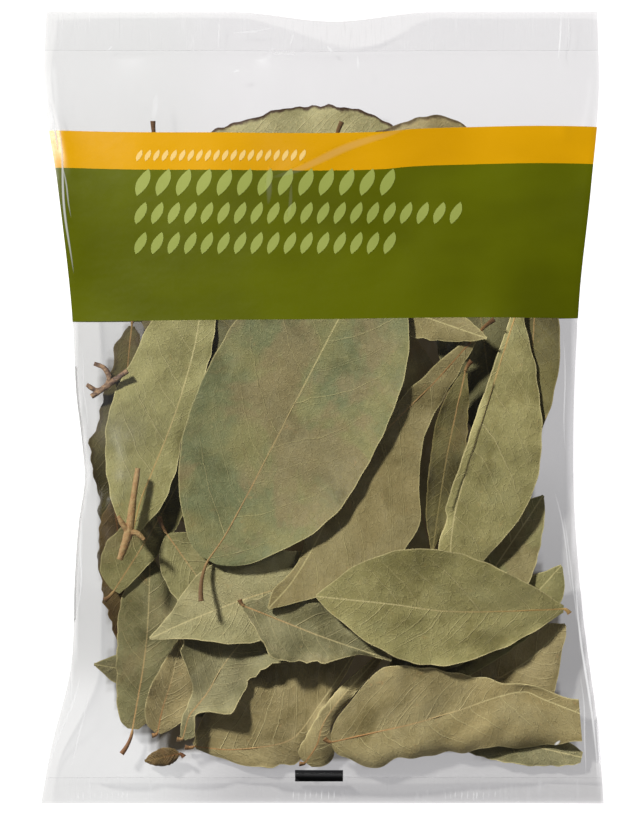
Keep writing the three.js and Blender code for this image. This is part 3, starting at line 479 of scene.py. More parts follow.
         (62.1, 0.3), (56, 5.5), (50, 8.5), (45, 10), (40, 10.8), (35, 12), (30, 12.9), (25, 13),
         (20, 12.3), (15, 11), (10, 9), (5, 6.5), (2, 4), (0, 1.4),
     ],
     "right": [
         (62.1, -0.3), (55, -4.5), (48, -6), (40, -6.2), (30, -5.6), (22, -5), (16, -5.6), (10, -5),
         (5, -3.5), (0, -0.8),
     ],
     "rib": [(62.1, 0), (47, -2), (35, -2.1), (25, -1.5), (15, -0.3), (8, 0.5), (0, 0.4)]},
    {"base": (56, -46.5), "tip": (-1.5, -43.5), "arch": 1.2, "fold": 5, "curl": (4, 22), "cup": 2,
     "stalk": 1.5, "tone": "yellow", "shade": "light",
     "left": [
         (57.6, 0.4), (55, 3), (50, 7), (45, 10.5), (40, 13), (35, 14.8), (30, 15.3), (25, 14.9),
         (20, 13.2), (15, 11), (10, 8.4), (5, 5), (2, 2.6), (0, 1.2),
     ],
     "right": [
         (57.6, -0.3), (55, -2.6), (50, -6.8), (45, -9.6), (40, -11.4), (35, -12.3), (30, -12.2),
         (25, -11.6), (20, -10.2), (15, -8.2), (10, -6), (5, -3.4), (0, -0.6),
     ],
     "rib": [(57.6, 0.1), (50, 0.5), (40, 1.1), (28, 2.1), (15, 1.6), (0, 0.3)]},
    {"base": (-26, -35.5), "tip": (13, 38.5), "arch": 1.4, "fold": 3, "curl": (18, 4), "cup": 4,
     "stalk": 9, "stalk_bend": -3, "tone": "blotched", "shade": "soft",
     "left": [
         (83.6, 0.4), (78, 8), (70, 14.6), (60, 19), (50, 21.2), (40, 21.5), (30, 20.8), (20, 18.5),
         (15, 16.3), (10, 13.3), (5, 9.6), (1.5, 5.8), (0, 2.5),
     ],
     "right": [
         (83.6, -0.4), (78, -8.5), (70, -15.5), (62, -19.4), (55, -21.2), (45, -22.3), (35, -22.4),
         (25, -21.6), (20, -20), (15, -17.5), (10, -14), (5, -9.8), (1.5, -5.5), (0, -2),
     ],
     "rib": [(83.6, 0), (40, -0.3), (8, -0.4), (0, 0.5)]},
    {"base": (-33.5, -80.8), "tip": (-41.5, -82.6), "width": 4.5, "cup": -20, "curl": (-30, -30),
     "stalk": 1, "tone": "brown", "crumple": 1.6},
]


HIDDEN_COUNT = 8
HIDDEN_SEED = 500
SHOWING_SEED = 100
SEED_STEP = 7
HIDDEN_FIELD = {"x": (-46, 46), "y": (-62, 56)}
FIELD_MARGIN = 7
GOLDEN_ANGLE = math.pi * (3 - math.sqrt(5))
# The plastic number's powers spread points evenly over an area, the golden ratio over a line.
SPREAD = (0.7548776662, 0.5698402909, 0.6180339887)


def hidden_leaf(k):
    sx, sy, sl = ((0.5 + (k + 1) * share) % 1 for share in SPREAD)
    length = lerp(50, 70, sl)
    width = length * lerp(0.36, 0.44, sx)
    heading = k * GOLDEN_ANGLE
    cosine, sine = math.cos(heading), math.sin(heading)
    reach_x = (length * abs(cosine) + width * abs(sine)) / 2
    reach_y = (length * abs(sine) + width * abs(cosine)) / 2
    room = max(0, HIDDEN_FIELD["x"][1] + FIELD_MARGIN - reach_x)
    low = HIDDEN_FIELD["y"][0] - FIELD_MARGIN + reach_y
    high = HIDDEN_FIELD["y"][1] + FIELD_MARGIN - reach_y
    x, y = lerp(-room, room, sx), lerp(low, high, sy)
    dx, dy = cosine * length / 2, sine * length / 2
    return {
        "base": (x - dx, y - dy),
        "tip": (x + dx, y + dy),
        "width": width,
        "arch": lerp(0.8, 2.2, sl),
        "fold": 3,
        "stalk": 4,
        "tone": "inner",
    }


def completed(leaf):
    span = math.dist(leaf["base"], leaf["tip"])
    return {**PLAIN_LEAF, **leaf, "length": span}


def outline(u):
    """A plain blade's width at u as a share of its greatest width."""
    widest = BASE_POWER / (BASE_POWER + TIP_POWER)
    peak = widest ** BASE_POWER * (1 - widest) ** TIP_POWER
    return np.power(u, BASE_POWER) * np.power(1 - u, TIP_POWER) / peak


def rib_at(leaf, u):
    """How far the midrib lies to the left of the straight line from base to tip."""
    if "rib" in leaf:
        return along(leaf["rib"], u * leaf["length"])
    return leaf["bow"] * 4 * u * (1 - u)


def blade_half(leaf, u, side):
    """The width from the midrib to the left edge where side is 1, to the right where it is -1."""
    if "left" in leaf:
        left = along(leaf["left"], u * leaf["length"])
        right = along(leaf["right"], u * leaf["length"])
        half = side * (np.where(side < 0, right, left) - rib_at(leaf, u))
    else:
        half = 0.5 * leaf["width"] * outline(u)
    ragged = undulation(leaf["seed"], 5, 25, 90)
    half = half + leaf["ragged"] * ragged(u + 3.1 * side) * smooth(half / 3)
    return np.maximum.reduce([np.full_like(half, TIP_HALF), half, STALK_RADIUS * (1 - 6 * u)])


def blade_middle(leaf, u, v):
    """The blade's middle surface in the leaf's own frame, X from base to tip and Y to the left."""
    side = np.where(v < 0, -1.0, 1.0)
    q = np.abs(v)
    half = blade_half(leaf, u, side)
    curled = np.where(v < 0, leaf["curl"][0], leaf["curl"][1])
    steps = 12
    out, up = 0, 0
    for k in range(steps):
        at = q * (k + 0.5) / steps
        degrees = leaf["fold"] + leaf["cup"] * at + curled * smooth((at - 0.45) / 0.55)
        out = out + np.cos(np.radians(degrees)) * q * half / steps
        up = up + np.sin(np.radians(degrees)) * q * half / steps
    up = up * smooth(u / 0.12) * smooth((1 - u) / 0.12)
    turn = np.radians(leaf["twist"]) * (u - 0.5)
    y = side * out * np.cos(turn) - up * np.sin(turn)
    z = side * out * np.sin(turn) + up * np.cos(turn)
    bulge = 4 * u * (1 - u)
    z = z + leaf["wave"] * q * q * bulge * np.sin(leaf["waves"] * math.pi * u + 2 * side)
    x = np.broadcast_to(leaf["length"] * u, y.shape)
    return np.stack([x, rib_at(leaf, u) + y, leaf["arch"] * bulge + z], -1), half


def folded_lip(leaf, x, y, half):
    if not leaf["lip"]:
        return 0
    width, start, end = leaf["lip"]
    over = smooth((width - half - y) / 0.3 + 0.5)
    return LIP_HEIGHT * over * smooth((x - start) / 0.8) * smooth((end - x) / 0.8)


def fine_relief(leaf, u, v, half):
    """Dents and a rippled margin that drying leaves in a blade."""
    dents = crinkle(leaf["seed"] + 1, 9)
    edge = undulation(leaf["seed"] + 2, 4, 30, 70)
    x, y = leaf["length"] * u, v * half
    inside = smooth(u / 0.15) * smooth((1 - u) / 0.15)
    margin = np.abs(v) ** 4
    ripple = 0.55 * leaf["crumple"] * dents(x, y) + margin * edge(u + np.sign(v))
    return inside * RIPPLE * ripple + folded_lip(leaf, x, y, half)


def to_frame(leaf, points):
    """From the leaf's own frame to the packet's, before the leaf is laid on the pile."""
    dx = leaf["tip"][0] - leaf["base"][0]
    dy = leaf["tip"][1] - leaf["base"][1]
    cosine, sine = dx / leaf["length"], dy / leaf["length"]
    x = leaf["base"][0] + points[..., 0] * cosine - points[..., 1] * sine
    y = leaf["base"][1] + points[..., 0] * sine + points[..., 1] * cosine
    return np.stack([x, y, points[..., 2]], -1)


def leaf_lie(node, leaf):
    u, v = np.meshgrid(np.linspace(0.06, 0.94, 15), (-0.42, -0.12, 0.12, 0.42), indexing="ij")
    middle, _ = blade_middle(leaf, u, v)
    return lie_of(node, to_frame(leaf, middle).reshape(-1, 3))


def blade_solid(leaf):
    """Points, faces and the place of each point on the blade: mm along, mm across, half width."""
    rows = max(24, round(leaf["length"] / BLADE_PITCH))
    u = (1 - np.cos(np.linspace(0, math.pi, rows + 1))) / 2
    u = lerp(np.linspace(0, 1, rows + 1), u, 0.55)
    v = np.sin(np.linspace(-1, 1, 2 * FINE_HALVES + 1) * math.pi / 2)
    v = lerp(np.linspace(-1, 1, 2 * FINE_HALVES + 1), v, 0.35)
    u, v = np.meshgrid(u, v, indexing="ij")
    middle, half = blade_middle(leaf, u, v)
    middle[..., 2] += fine_relief(leaf, u, v, half)
    normal = grid_normals(middle)
    thickness = lerp(BLADE, MARGIN_BLADE, smooth((np.abs(v) - 0.8) / 0.2))[..., None]
    upper = middle + normal * thickness / 2
    lower = middle - normal * thickness / 2
    points, faces = slab(upper, lower)
    place = np.stack([leaf["length"] * u, v * half, half], -1).reshape(-1, 3)
    return points, faces, np.concatenate([place, place])


def rib_solid(leaf):
    """The stalk and the midrib that runs on from it, as one tapering rod."""
    back = np.linspace(1, 0, 7)[:-1] * leaf["stalk"]
    bend = leaf["stalk_bend"] * (back / leaf["stalk"]) ** 2
    stalk = np.stack([-back, rib_at(leaf, np.zeros_like(back)) + bend, 0.12 * back], -1)
    u = np.linspace(0, 0.97, 40)
    blade, _ = blade_middle(leaf, u, np.full_like(u, 1e-6))
    path = np.concatenate([stalk, blade])
    size = (leaf["length"] / 70) ** 0.5
    radius = np.concatenate([
        STALK_RADIUS * (0.5 + 0.36 * (back / leaf["stalk"]) ** 2),
        STALK_RADIUS * 0.33 * lerp(0.13, 1, (1 - u) ** 1.4) * size,
    ])
    points, faces = tube(path, radius, 7)
    ring = np.concatenate([np.repeat(path[:, 0], 7), path[:1, 0], path[-1:, 0]])
    place = np.stack([ring, np.zeros_like(ring), np.full_like(ring, 8)], -1)
    return points, faces, place


def add_attribute(mesh, name, kind, values):
    field = "value" if kind == "FLOAT" else "vector"
    mesh.attributes.new(name, kind, "POINT").data.foreach_set(field, np.ravel(values))


leaf_tops = []  # every fine leaf's points, which hold the front film up


def add_leaf(node, leaf, seed):
    leaf = {**completed(leaf), "seed": seed}
    lie = leaf_lie(node, leaf)
    blade_points, blade_faces, blade_place = blade_solid(leaf)
    rib_points, rib_faces, rib_place = rib_solid(leaf)
    first = len(blade_points)
    faces = blade_faces + [tuple(first + k for k in face) for face in rib_faces]
    points = to_frame(leaf, np.concatenate([blade_points, rib_points]))
    points[:, 2] += lie(points[:, 0], points[:, 1])
    piece = mesh_object(f"{node}_fine", points, faces, sharp=55)
    rng = np.random.default_rng(seed)
    count = len(points)
    look = np.array([leaf["length"], rng.uniform(0, 1), leaf["rim"]])
    is_rib = np.concatenate([np.zeros(first), np.ones(len(rib_points))])
    add_attribute(piece.data, "leaf_place", "FLOAT_VECTOR", np.concatenate([blade_place, rib_place]))
    add_attribute(piece.data, "leaf_look", "FLOAT_VECTOR", np.tile(look, (count, 1)))
    add_attribute(piece.data, "leaf_tint", "FLOAT_VECTOR", np.tile(SHADES[leaf["shade"]], (count, 1)))
    add_attribute(piece.data, "leaf_rib", "FLOAT", is_rib)
    tone = TONES[leaf["tone"]]
    piece.data.materials.append(tone["material"])
    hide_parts(node)
    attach(piece, "root")
    leaf_tops.append(points)
    return piece


# ---------- node helpers ----------
def srgb(red, green, blue):
    """A colour as read off a screen, 0 to 255, as the linear RGBA that shaders take."""
    def linear(c):
        c = c / 255
        return c / 12.92 if c <= 0.04045 else ((c + 0.055) / 1.055) ** 2.4
    return (linear(red), linear(green), linear(blue), 1)


class Term:
    """A number in a node tree: arithmetic on it adds Math nodes."""

    def __init__(self, tree, socket):
        self.tree = tree
        self.socket = socket

    def apply(self, operation, *others, clamped=False):
        node = self.tree.nodes.new("ShaderNodeMath")
        node.operation = operation
        node.use_clamp = clamped
        for slot, value in zip(node.inputs, (self, *others)):
            if isinstance(value, Term):
                self.tree.links.new(value.socket, slot)
            else:
                slot.default_value = value
        return Term(self.tree, node.outputs[0])

    def __add__(self, other):
        return self.apply("ADD", other)

    def __sub__(self, other):
        return self.apply("SUBTRACT", other)

    def __mul__(self, other):
        return self.apply("MULTIPLY", other)

    def __truediv__(self, other):
        return self.apply("DIVIDE", other)

    def rising(self, low, high):
        """0 below low and 1 above high, smooth between. Falls where low is the greater."""
        node = self.tree.nodes.new("ShaderNodeMapRange")
        node.interpolation_type = "SMOOTHSTEP"
        self.tree.links.new(self.socket, node.inputs["Value"])
        node.inputs["From Min"].default_value = min(low, high)
        node.inputs["From Max"].default_value = max(low, high)
        node.inputs["To Min"].default_value = 0 if low < high else 1
        node.inputs["To Max"].default_value = 1 if low < high else 0
        return Term(self.tree, node.outputs["Result"])


class Nodes:
    """A material's node tree, with the few kinds of node that this script uses."""

    def __init__(self, name):
        self.material = bpy.data.materials.new(name)
        self.material.use_nodes = True
        self.tree = self.material.node_tree
        self.tree.nodes.clear()
        self.output = self.tree.nodes.new("ShaderNodeOutputMaterial")

    def node(self, kind, **inputs):
        node = self.tree.nodes.new(kind)
        for name, value in inputs.items():
            self.put(node.inputs[name.replace("_", " ")], value)
        return node

    def put(self, slot, value):
        if isinstance(value, Term):
            value = value.socket
        if isinstance(value, bpy.types.NodeSocket):
            self.tree.links.new(value, slot)
        else:
            slot.default_value = value

    def term(self, socket):
        return Term(self.tree, socket)

    def attribute(self, name):
        node = self.node("ShaderNodeAttribute")
        node.attribute_name = name
        return node

    def parts(self, vector):
        node = self.node("ShaderNodeSeparateXYZ", Vector=vector)
        return [self.term(out) for out in node.outputs]

    def joined(self, x, y, z):
        return self.node("ShaderNodeCombineXYZ", X=x, Y=y, Z=z).outputs[0]

    def position(self):
        return self.node("ShaderNodeTexCoord").outputs["Object"]

    def scaled(self, vector, *by):
        node = self.node("ShaderNodeMapping", Vector=vector)
        node.inputs["Scale"].default_value = by
        return node.outputs[0]

    def position_mm(self):
        return self.scaled(self.position(), 1000, 1000, 1000)

    def noise(self, vector, scale, detail=2.0, roughness=0.5, distortion=0.0):
        node = self.node("ShaderNodeTexNoise", Vector=vector, Scale=scale, Detail=detail,
                         Roughness=roughness, Distortion=distortion)
        return self.term(node.outputs[0])

    def cells(self, vector, scale, feature="DISTANCE_TO_EDGE"):
        node = self.node("ShaderNodeTexVoronoi", Vector=vector, Scale=scale)
        node.feature = feature
        return self.term(node.outputs["Distance"])

    def random(self, number):
        node = self.node("ShaderNodeTexWhiteNoise")
        node.noise_dimensions = "1D"
        self.put(node.inputs["W"], number)
        return self.term(node.outputs["Value"])

    def blended(self, share, first, second):
        """A shader that is the first one where share is 0 and the second where it is 1."""
        node = self.node("ShaderNodeMixShader")
        self.put(node.inputs[0], share)
        self.put(node.inputs[1], first.outputs[0])
        self.put(node.inputs[2], second.outputs[0])
        return node

    def mix(self, share, first, second, blend="MIX"):
        node = self.node("ShaderNodeMix")
        node.data_type = "RGBA"
        node.blend_type = blend
        colours = [s for s in node.inputs if s.type == "RGBA"]
        self.put(node.inputs[0], share)
        self.put(colours[0], first)
        self.put(colours[1], second)
        return [s for s in node.outputs if s.type == "RGBA"][0]

    def bump(self, height, strength, distance):
        node = self.node("ShaderNodeBump", Height=height, Strength=strength, Distance=distance)
        return node.outputs[0]

    def sheen(self, normal, straight_on):
        """The share that a film reflects: little straight on and all of it edge on."""
        node = self.node("ShaderNodeLayerWeight", Blend=0.5, Normal=normal)
        facing = self.term(node.outputs["Facing"])
        return facing.apply("POWER", 5) * (1 - straight_on) + straight_on

    def surface(self, shader):
        self.tree.links.new(shader, self.output.inputs["Surface"])
        return self.material


# ---------- leaf materials ----------
VEIN_LEAN = 0.62  # how far a side vein runs forward for each mm it runs outward
VEIN_HOOK = 0.55  # and how much more of that near the margin


def side_veins(n, x, y, half, length, seed, pitch, offset, width):
    """1 on a blade's side veins, which leave the midrib in turn left and right and arch forward."""
    side = y.apply("SIGN")
    out = y.apply("ABSOLUTE")
    spacing = length * pitch
    wander = n.noise(n.joined(x, y, seed * 40 + offset), 0.12, detail=2) - 0.5
    forward = x + wander * 3.4 - out * VEIN_LEAN - out * out / half * VEIN_HOOK
    phase = forward / spacing + seed * 7.3 + side * 0.27 + offset
    number = phase.apply("FLOOR")
    shift = (n.random(number * 1.7 + side * 31.3 + seed * 57) - 0.5) * 0.5
    away = (phase.apply("FRACT") - 0.5 - shift).apply("ABSOLUTE") * spacing
    strength = n.random(number * 2.9 + side * 13.1 + seed * 91) * 0.7 + 0.3
    fading = (out / half).rising(1.05, 0.55)
    return away.rising(width, 0.04) * strength * fading


def leaf_material(name, light, deep, patch, patchy, vein, rib, painted_glow=0):
    """A dry bay leaf: mottled blade with random darker patches that are partly painted shade, pale veins and
    net, bright thin margin, coloured midrib, and a painted glow where asked.
    """
    n = Nodes(name)
    place = n.attribute("leaf_place").outputs["Vector"]
    x, y, half = n.parts(place)
    length, seed, rim = n.parts(n.attribute("leaf_look").outputs["Vector"])
    is_rib = n.term(n.attribute("leaf_rib").outputs["Fac"])
    spot = n.joined(x, y, seed * 50)
    across = y.apply("ABSOLUTE")
    inset = half - across  # mm in from the margin

    main_veins = side_veins(n, x, y, half, length, seed, 0.115, 0, 0.2)
    minor_veins = side_veins(n, x, y, half, length, seed, 0.063, 0.5, 0.2)
    bent = n.joined(x + n.noise(spot, 0.7) * 2.2, y + n.noise(spot, 0.9) * 2.2, seed * 50)
    net = n.cells(bent, 0.5).rising(0.07, 0.0)
    fine_net = n.cells(bent, 1.4).rising(0.11, 0.0)
    midrib = across.rising(0.22, 0.1)

    cloud = n.noise(spot, 0.075, detail=3, roughness=0.6).rising(0.36, 0.66)
    blotch = n.noise(spot, 0.045, detail=4, roughness=0.65, distortion=0.6)
    grain = n.noise(spot, 2.6, detail=3, roughness=0.7)
    stain = n.noise(spot, 0.33, detail=5, roughness=0.72).rising(0.6, 0.78)

    colour = n.mix(cloud, deep, light)
    colour = n.mix(blotch.rising(0.5, 0.62) * patchy, colour, patch)
    colour = n.mix(stain * 0.35, colour, rib)
    smudge = n.noise(spot, 0.2, detail=4, roughness=0.65)
    colour = n.mix(smudge.rising(0.56, 0.34) * 0.6, colour, (0.8, 0.78, 0.7, 1), "MULTIPLY")
    # Random darker patches, partly the leaves' own mottling and partly painted shade.
    mottling_and_painted_shade = n.noise(spot, 0.07, detail=3, roughness=0.6, distortion=0.4)
    colour = n.mix(mottling_and_painted_shade.rising(0.47, 0.36) * 0.7, colour, (0.66, 0.64, 0.54, 1), "MULTIPLY")
    tinted = n.mix(grain.rising(0.3, 0.75) * 0.5, colour, (1.28, 1.26, 1.2, 1), "MULTIPLY")
    tinted = n.mix(grain.rising(0.52, 0.25) * 0.4, tinted, (0.72, 0.7, 0.66, 1), "MULTIPLY")
    lines = (net * 0.1).apply("MAXIMUM", fine_net * 0.08)
    lines = lines.apply("MAXIMUM", minor_veins * 0.16).apply("MAXIMUM", main_veins * 0.52)
    tinted = n.mix(lines, tinted, vein)
    edge = inset.rising(0.34, 0.1) * (x / length).rising(0.0, 0.06)
    tinted = n.mix(edge * 0.45, tinted, vein)
    reddening = (x / length).rising(0.75, 0.1)
    ribbed = n.mix(reddening, vein, rib)
    ribbed = n.mix((x / length).rising(0.01, -0.06), ribbed, srgb(104, 62, 40))
    ribbing = (x / length).rising(0.5, 0.0) * 0.25 + 0.5
    tinted = n.mix(is_rib.apply("MAXIMUM", midrib) * ribbing, tinted, ribbed)
    dried = inset + n.noise(spot, 0.5, detail=3) * 1.6
    tinted = n.mix(dried.rising(2.0, 1.1) * rim, tinted, srgb(58, 42, 26))
    tinted = n.mix(1.0, tinted, n.attribute("leaf_tint").outputs["Vector"], "MULTIPLY")

    relief = main_veins * 0.5 + minor_veins * 0.25 + net * 0.18 + fine_net * 0.08
    relief = relief + grain * 0.25 + cloud * 0.4
    roughness = grain * 0.3 + 0.47
    shader = n.node("ShaderNodeBsdfPrincipled", Base_Color=tinted, Roughness=roughness)
    n.put(shader.inputs["Normal"], n.bump(relief, 0.8, 0.00035))
    shader.inputs["Specular IOR Level"].default_value = 0.2
    n.put(shader.inputs["Emission Color"], tinted)
    shader.inputs["Emission Strength"].default_value = painted_glow  # painted light: a glow in the leaf's own colour, so the innermost leaves never go black in shade
    return n.surface(shader.outputs[0])


PALE_VEIN = srgb(200, 188, 136)
RIB_BROWN = srgb(172, 136, 88)
# Each tone: its slot, then its light, deep and patch colours, how patchy it is, its veins and
# its midrib's base, and for the innermost a painted glow that keeps them from going black in shade.
TONE_COLOURS = {
    "blotched": ("leaf_grey_green", srgb(124, 120, 79), srgb(103, 108, 75), srgb(126, 110, 80), 0.6,
                 PALE_VEIN, srgb(161, 125, 82)),
    "grey": ("leaf_grey_green", srgb(128, 124, 90), srgb(110, 108, 76), srgb(130, 118, 88), 0.4,
             PALE_VEIN, RIB_BROWN),
    "olive": ("leaf_olive", srgb(130, 125, 82), srgb(110, 107, 67), srgb(134, 116, 78), 0.4,
              PALE_VEIN, RIB_BROWN),
    "yellow": ("leaf_olive", srgb(139, 134, 87), srgb(123, 119, 74), srgb(130, 130, 91), 0.4,
               PALE_VEIN, srgb(170, 134, 78)),
    "pale": ("leaf_olive", srgb(148, 143, 103), srgb(130, 127, 89), srgb(139, 128, 92), 0.4,
             PALE_VEIN, RIB_BROWN),
    "tan": ("leaf_tan", srgb(141, 130, 91), srgb(125, 114, 76), srgb(138, 124, 82), 0.5,
            PALE_VEIN, srgb(166, 119, 73)),
    "shaded": ("leaf_grey_green", srgb(110, 107, 73), srgb(91, 89, 58), srgb(109, 94, 64), 0.4,
               srgb(163, 150, 105), RIB_BROWN),
    "dark": ("leaf_olive", srgb(105, 98, 58), srgb(82, 76, 44), srgb(96, 78, 47), 0.5,
             srgb(154, 139, 89), RIB_BROWN),
    "brown": ("leaf_tan", srgb(107, 89, 55), srgb(80, 64, 38), srgb(92, 65, 38), 0.6,
              srgb(143, 119, 74), srgb(134, 92, 53)),
    # The innermost leaves' last number is their painted glow.
    "inner": ("leaf_inner", srgb(98, 90, 58), srgb(78, 70, 44), srgb(88, 68, 42), 0.5,
              srgb(100, 87, 58), srgb(92, 67, 42), 0.25),
}
TONES = {
    tone: {"slot": slot, "material": leaf_material(f"leaf_{tone}", *colours)}
    for tone, (slot, *colours) in TONE_COLOURS.items()
}

for k in range(HIDDEN_COUNT):
    add_leaf(f"leaf_under_{k + 1:02d}", hidden_leaf(k), HIDDEN_SEED + k)
for k, showing in enumerate(SHOWING_LEAVES):
    add_leaf(f"leaf_{k + 1:02d}", showing, SHOWING_SEED + SEED_STEP * k)

# ---------- scraps of twig ----------
TWIG_SIDES = 12
FORKED_TWIG = [
    [(-45.2, 8.5, 0.2, 0.6), (-48, 6.5, 0, 0.7), (-51, 4.3, 0.1, 0.75), (-53.6, 2.5, 0.2, 0.65)],
    [(-49.8, 5.2, 0, 0.7), (-49.5, 7.2, 0.3, 0.65), (-50.7, 9.2, 0.6, 0.6), (-53, 10.2, 0.8, 0.5)],
    [(-51.6, 3.9, 0, 0.7), (-53, 4.2, 0.3, 0.6), (-54.7, 5.3, 0.6, 0.5)],
]
BUDDED_TWIG = [
    [(-42.6, -14, 0.4, 0.8), (-43.6, -21, 0.1, 0.9), (-44.6, -28.6, 0, 1.25),
     (-46.6, -35, 0.2, 0.85)],
    [(-44.6, -28.6, 0, 1), (-42.6, -29, 0.4, 0.8), (-41, -30.4, 0.6, 0.55)],
    [(-44.6, -28.6, 0, 1), (-46, -26.8, 0.5, 0.8), (-47, -25, 0.8, 0.5)],
]


def finer(stations, each=6):
    """More stations on a smooth curve through the given ones."""
    s = np.array(stations, float)
    padded = np.concatenate([2 * s[:1] - s[1:2], s, 2 * s[-1:] - s[-2:-1]])
    found = []
    for a, b, c, d in zip(padded, padded[1:], padded[2:], padded[3:]):
        for t in np.arange(each) / each:
            ends = (2 * b) + (c - a) * t
            bends = (2 * a - 5 * b + 4 * c - d) * t ** 2 + (3 * b - a - 3 * c + d) * t ** 3
            found.append((ends + bends) / 2)
    return np.array(found + [s[-1]])


def bark_material(name, light, deep):
    n = Nodes(name)
    spot = n.position_mm()
    streak = n.noise(spot, 0.9, detail=4, roughness=0.7)
    ring = n.noise(n.scaled(spot, 0.4, 3.0, 0.4), 1.0, detail=2)
    colour = n.mix(streak.rising(0.35, 0.65), deep, light)
    shader = n.node("ShaderNodeBsdfPrincipled", Base_Color=colour)
    n.put(shader.inputs["Roughness"], streak * 0.2 + 0.62)
    n.put(shader.inputs["Normal"], n.bump(streak + ring * 0.6, 0.7, 0.0005))
    return n.surface(shader.outputs[0])


def add_twig(node, branches, slimness, material, seed):
    knots = undulation(seed, 5, 3, 9)
    points, faces, centres = [], [], []
    for branch in branches:
        line = finer(branch)
        radii = slimness * line[:, 3] * (1 + 0.09 * knots(np.arange(len(line))))
        rod_points, rod_faces = tube(line[:, :3], radii, TWIG_SIDES)
        first = sum(len(p) for p in points)
        points.append(rod_points)
        faces += [tuple(first + k for k in face) for face in rod_faces]
        centres.append(line[1:-1, :3])
    points = np.concatenate(points)
    lie = lie_of(node, np.concatenate(centres))
    points[:, 2] += lie(points[:, 0], points[:, 1])
    piece = mesh_object(f"{node}_fine", points, faces, sharp=70)
    piece.data.materials.append(material)
    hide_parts(node)
    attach(piece, "root")
    leaf_tops.append(points)


add_twig("twig_forked", FORKED_TWIG, 0.95,
         bark_material("bark_grey", srgb(140, 110, 78), srgb(70, 48, 36)), 31)
add_twig("twig_budded", BUDDED_TWIG, 0.8,
         bark_material("bark_orange", srgb(150, 124, 78), srgb(140, 104, 60)), 32)


# ---------- the film pouch ----------
SEAM_OVERLAP = 0.06  # the pouch runs this far into a sealed strip
BACK_INSET = 0.05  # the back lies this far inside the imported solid's lower face
FRONT_INSET = 0.45  # and the front starts this far under its upper one, before it is pulled taut
LEAST_ROOM = 0.3  # between the back and the front as it starts
LEAST_GAP = 0.15  # and once it is taut
TAUT_SWEEPS = 260
DENT_SIZE = 21
DENT_DEPTH = 0.06


def fold_height(y):
    from_foot = smooth((y + MIDDLE - BOTTOM_SEAL) / 34)
    from_head = smooth((MIDDLE - TOP_SEAL - y) / 46)
    return lerp(SEAL_HEIGHT, FOLD_HEIGHT, np.minimum(from_foot, from_head))


def header_wave(x, y):
    across = smooth(1 - np.abs(x - HEADER_WAVE["x"]) / HEADER_WAVE["half_width"])
    into = np.clip((y - MIDDLE + HEADER_WAVE["reach"]) / HEADER_WAVE["reach"], 0, 1)
    return across * into * into


def back_height(x, y):
    inward = np.minimum(x - left_side(y), right_side(y) - x)
    q = np.clip(inward / SIDE_ROUNDING, 0, 1)
    roll = 1 - np.sqrt(1 - (1 - q) ** 2)
    lift = END_LIFT * smooth((np.abs(y) - MIDDLE + 16) / 16)
    return fold_height(y) * roll + lift + HEADER_WAVE["height"] * header_wave(x, y)


def crowded(q):
    return lerp(q, 0.5 - 0.5 * np.cos(math.pi * q), 0.5)


def film_plan(low, high, pitch_x, pitch_y):
    """x and y of a grid over the packet, rows from low y to high y, columns from left to right."""
    rows = max(2, round((high - low) / pitch_y))
    y = np.linspace(low, high, rows + 1)
    s = crowded(np.linspace(0, 1, round(USUAL_WIDTH / pitch_x) + 1))
    flat_y, s = np.meshgrid(y, s, indexing="ij")
    x = lerp(left_side(flat_y), right_side(flat_y), s)
    return x, flat_y, flat_y - HEADER_WAVE["set_back"] * header_wave(x, flat_y)


def held_up_by_leaves(x, y):
    """The highest leaf point near each place of the grid, and the dome a stiff film makes of it."""
    height = np.full(x.shape, -np.inf)
    rows, columns = x.shape
    for points in leaf_tops:
        j = np.round((points[:, 1] - y[0, 0]) / (y[-1, 0] - y[0, 0]) * (rows - 1)).astype(int)
        j = np.clip(j, 0, rows - 1)
        share = (points[:, 0] - x[j, 0]) / (x[j, -1] - x[j, 0])
        stations = (x[rows // 2] - x[rows // 2, 0]) / (x[rows // 2, -1] - x[rows // 2, 0])
        i = np.clip(np.searchsorted(stations, share), 1, columns - 1)
        for column in (i - 1, i):
            np.maximum.at(height, (j, column), points[:, 2])
    spread = height.copy()
    for rows_off in range(-DOME_REACH, DOME_REACH + 1):
        for columns_off in range(-DOME_REACH, DOME_REACH + 1):
            distance = FILM_PITCH * math.hypot(rows_off, columns_off)
            near = np.roll(height, (rows_off, columns_off), axis=(0, 1))
            spread = np.maximum(spread, near - distance ** 2 / (2 * DOME_RADIUS))
    return spread


def cad_front_height(x, y):
    tree = tree_of("film_front")
    inner_x = np.clip(x, left_side(y) + 0.4, right_side(y) - 0.4)
    found = [surface_height(tree, a, b) for a, b in zip(inner_x.ravel(), y.ravel())]
    return np.array([0 if z is None else z for z in found]).reshape(x.shape)


def relax(z, floor, x, y, sweeps, inflation):
    """Pulls a sheet taut between its fixed rim and over the floor, by successive relaxation."""
    dx0, dx1 = x[1:-1, 1:-1] - x[1:-1, :-2], x[1:-1, 2:] - x[1:-1, 1:-1]
    dy0, dy1 = y[1:-1, 1:-1] - y[:-2, 1:-1], y[2:, 1:-1] - y[1:-1, 1:-1]
    wx, wy = 1 / (dx0 * dx1), 1 / (dy0 * dy1)
    checks = np.add.outer(np.arange(z.shape[0] - 2), np.arange(z.shape[1] - 2)) % 2
    for _ in range(sweeps):
        for colour in (0, 1):
            across = (dx1 * z[1:-1, :-2] + dx0 * z[1:-1, 2:]) / (dx0 + dx1)
            lengthways = (dy1 * z[:-2, 1:-1] + dy0 * z[2:, 1:-1]) / (dy0 + dy1)
            target = (across * wx + lengthways * wy + inflation) / (wx + wy)
            moved = z[1:-1, 1:-1] + 1.6 * (target - z[1:-1, 1:-1])
            moved = np.maximum(moved, floor[1:-1, 1:-1])
            z[1:-1, 1:-1] = np.where(checks == colour, moved, z[1:-1, 1:-1])
    return z


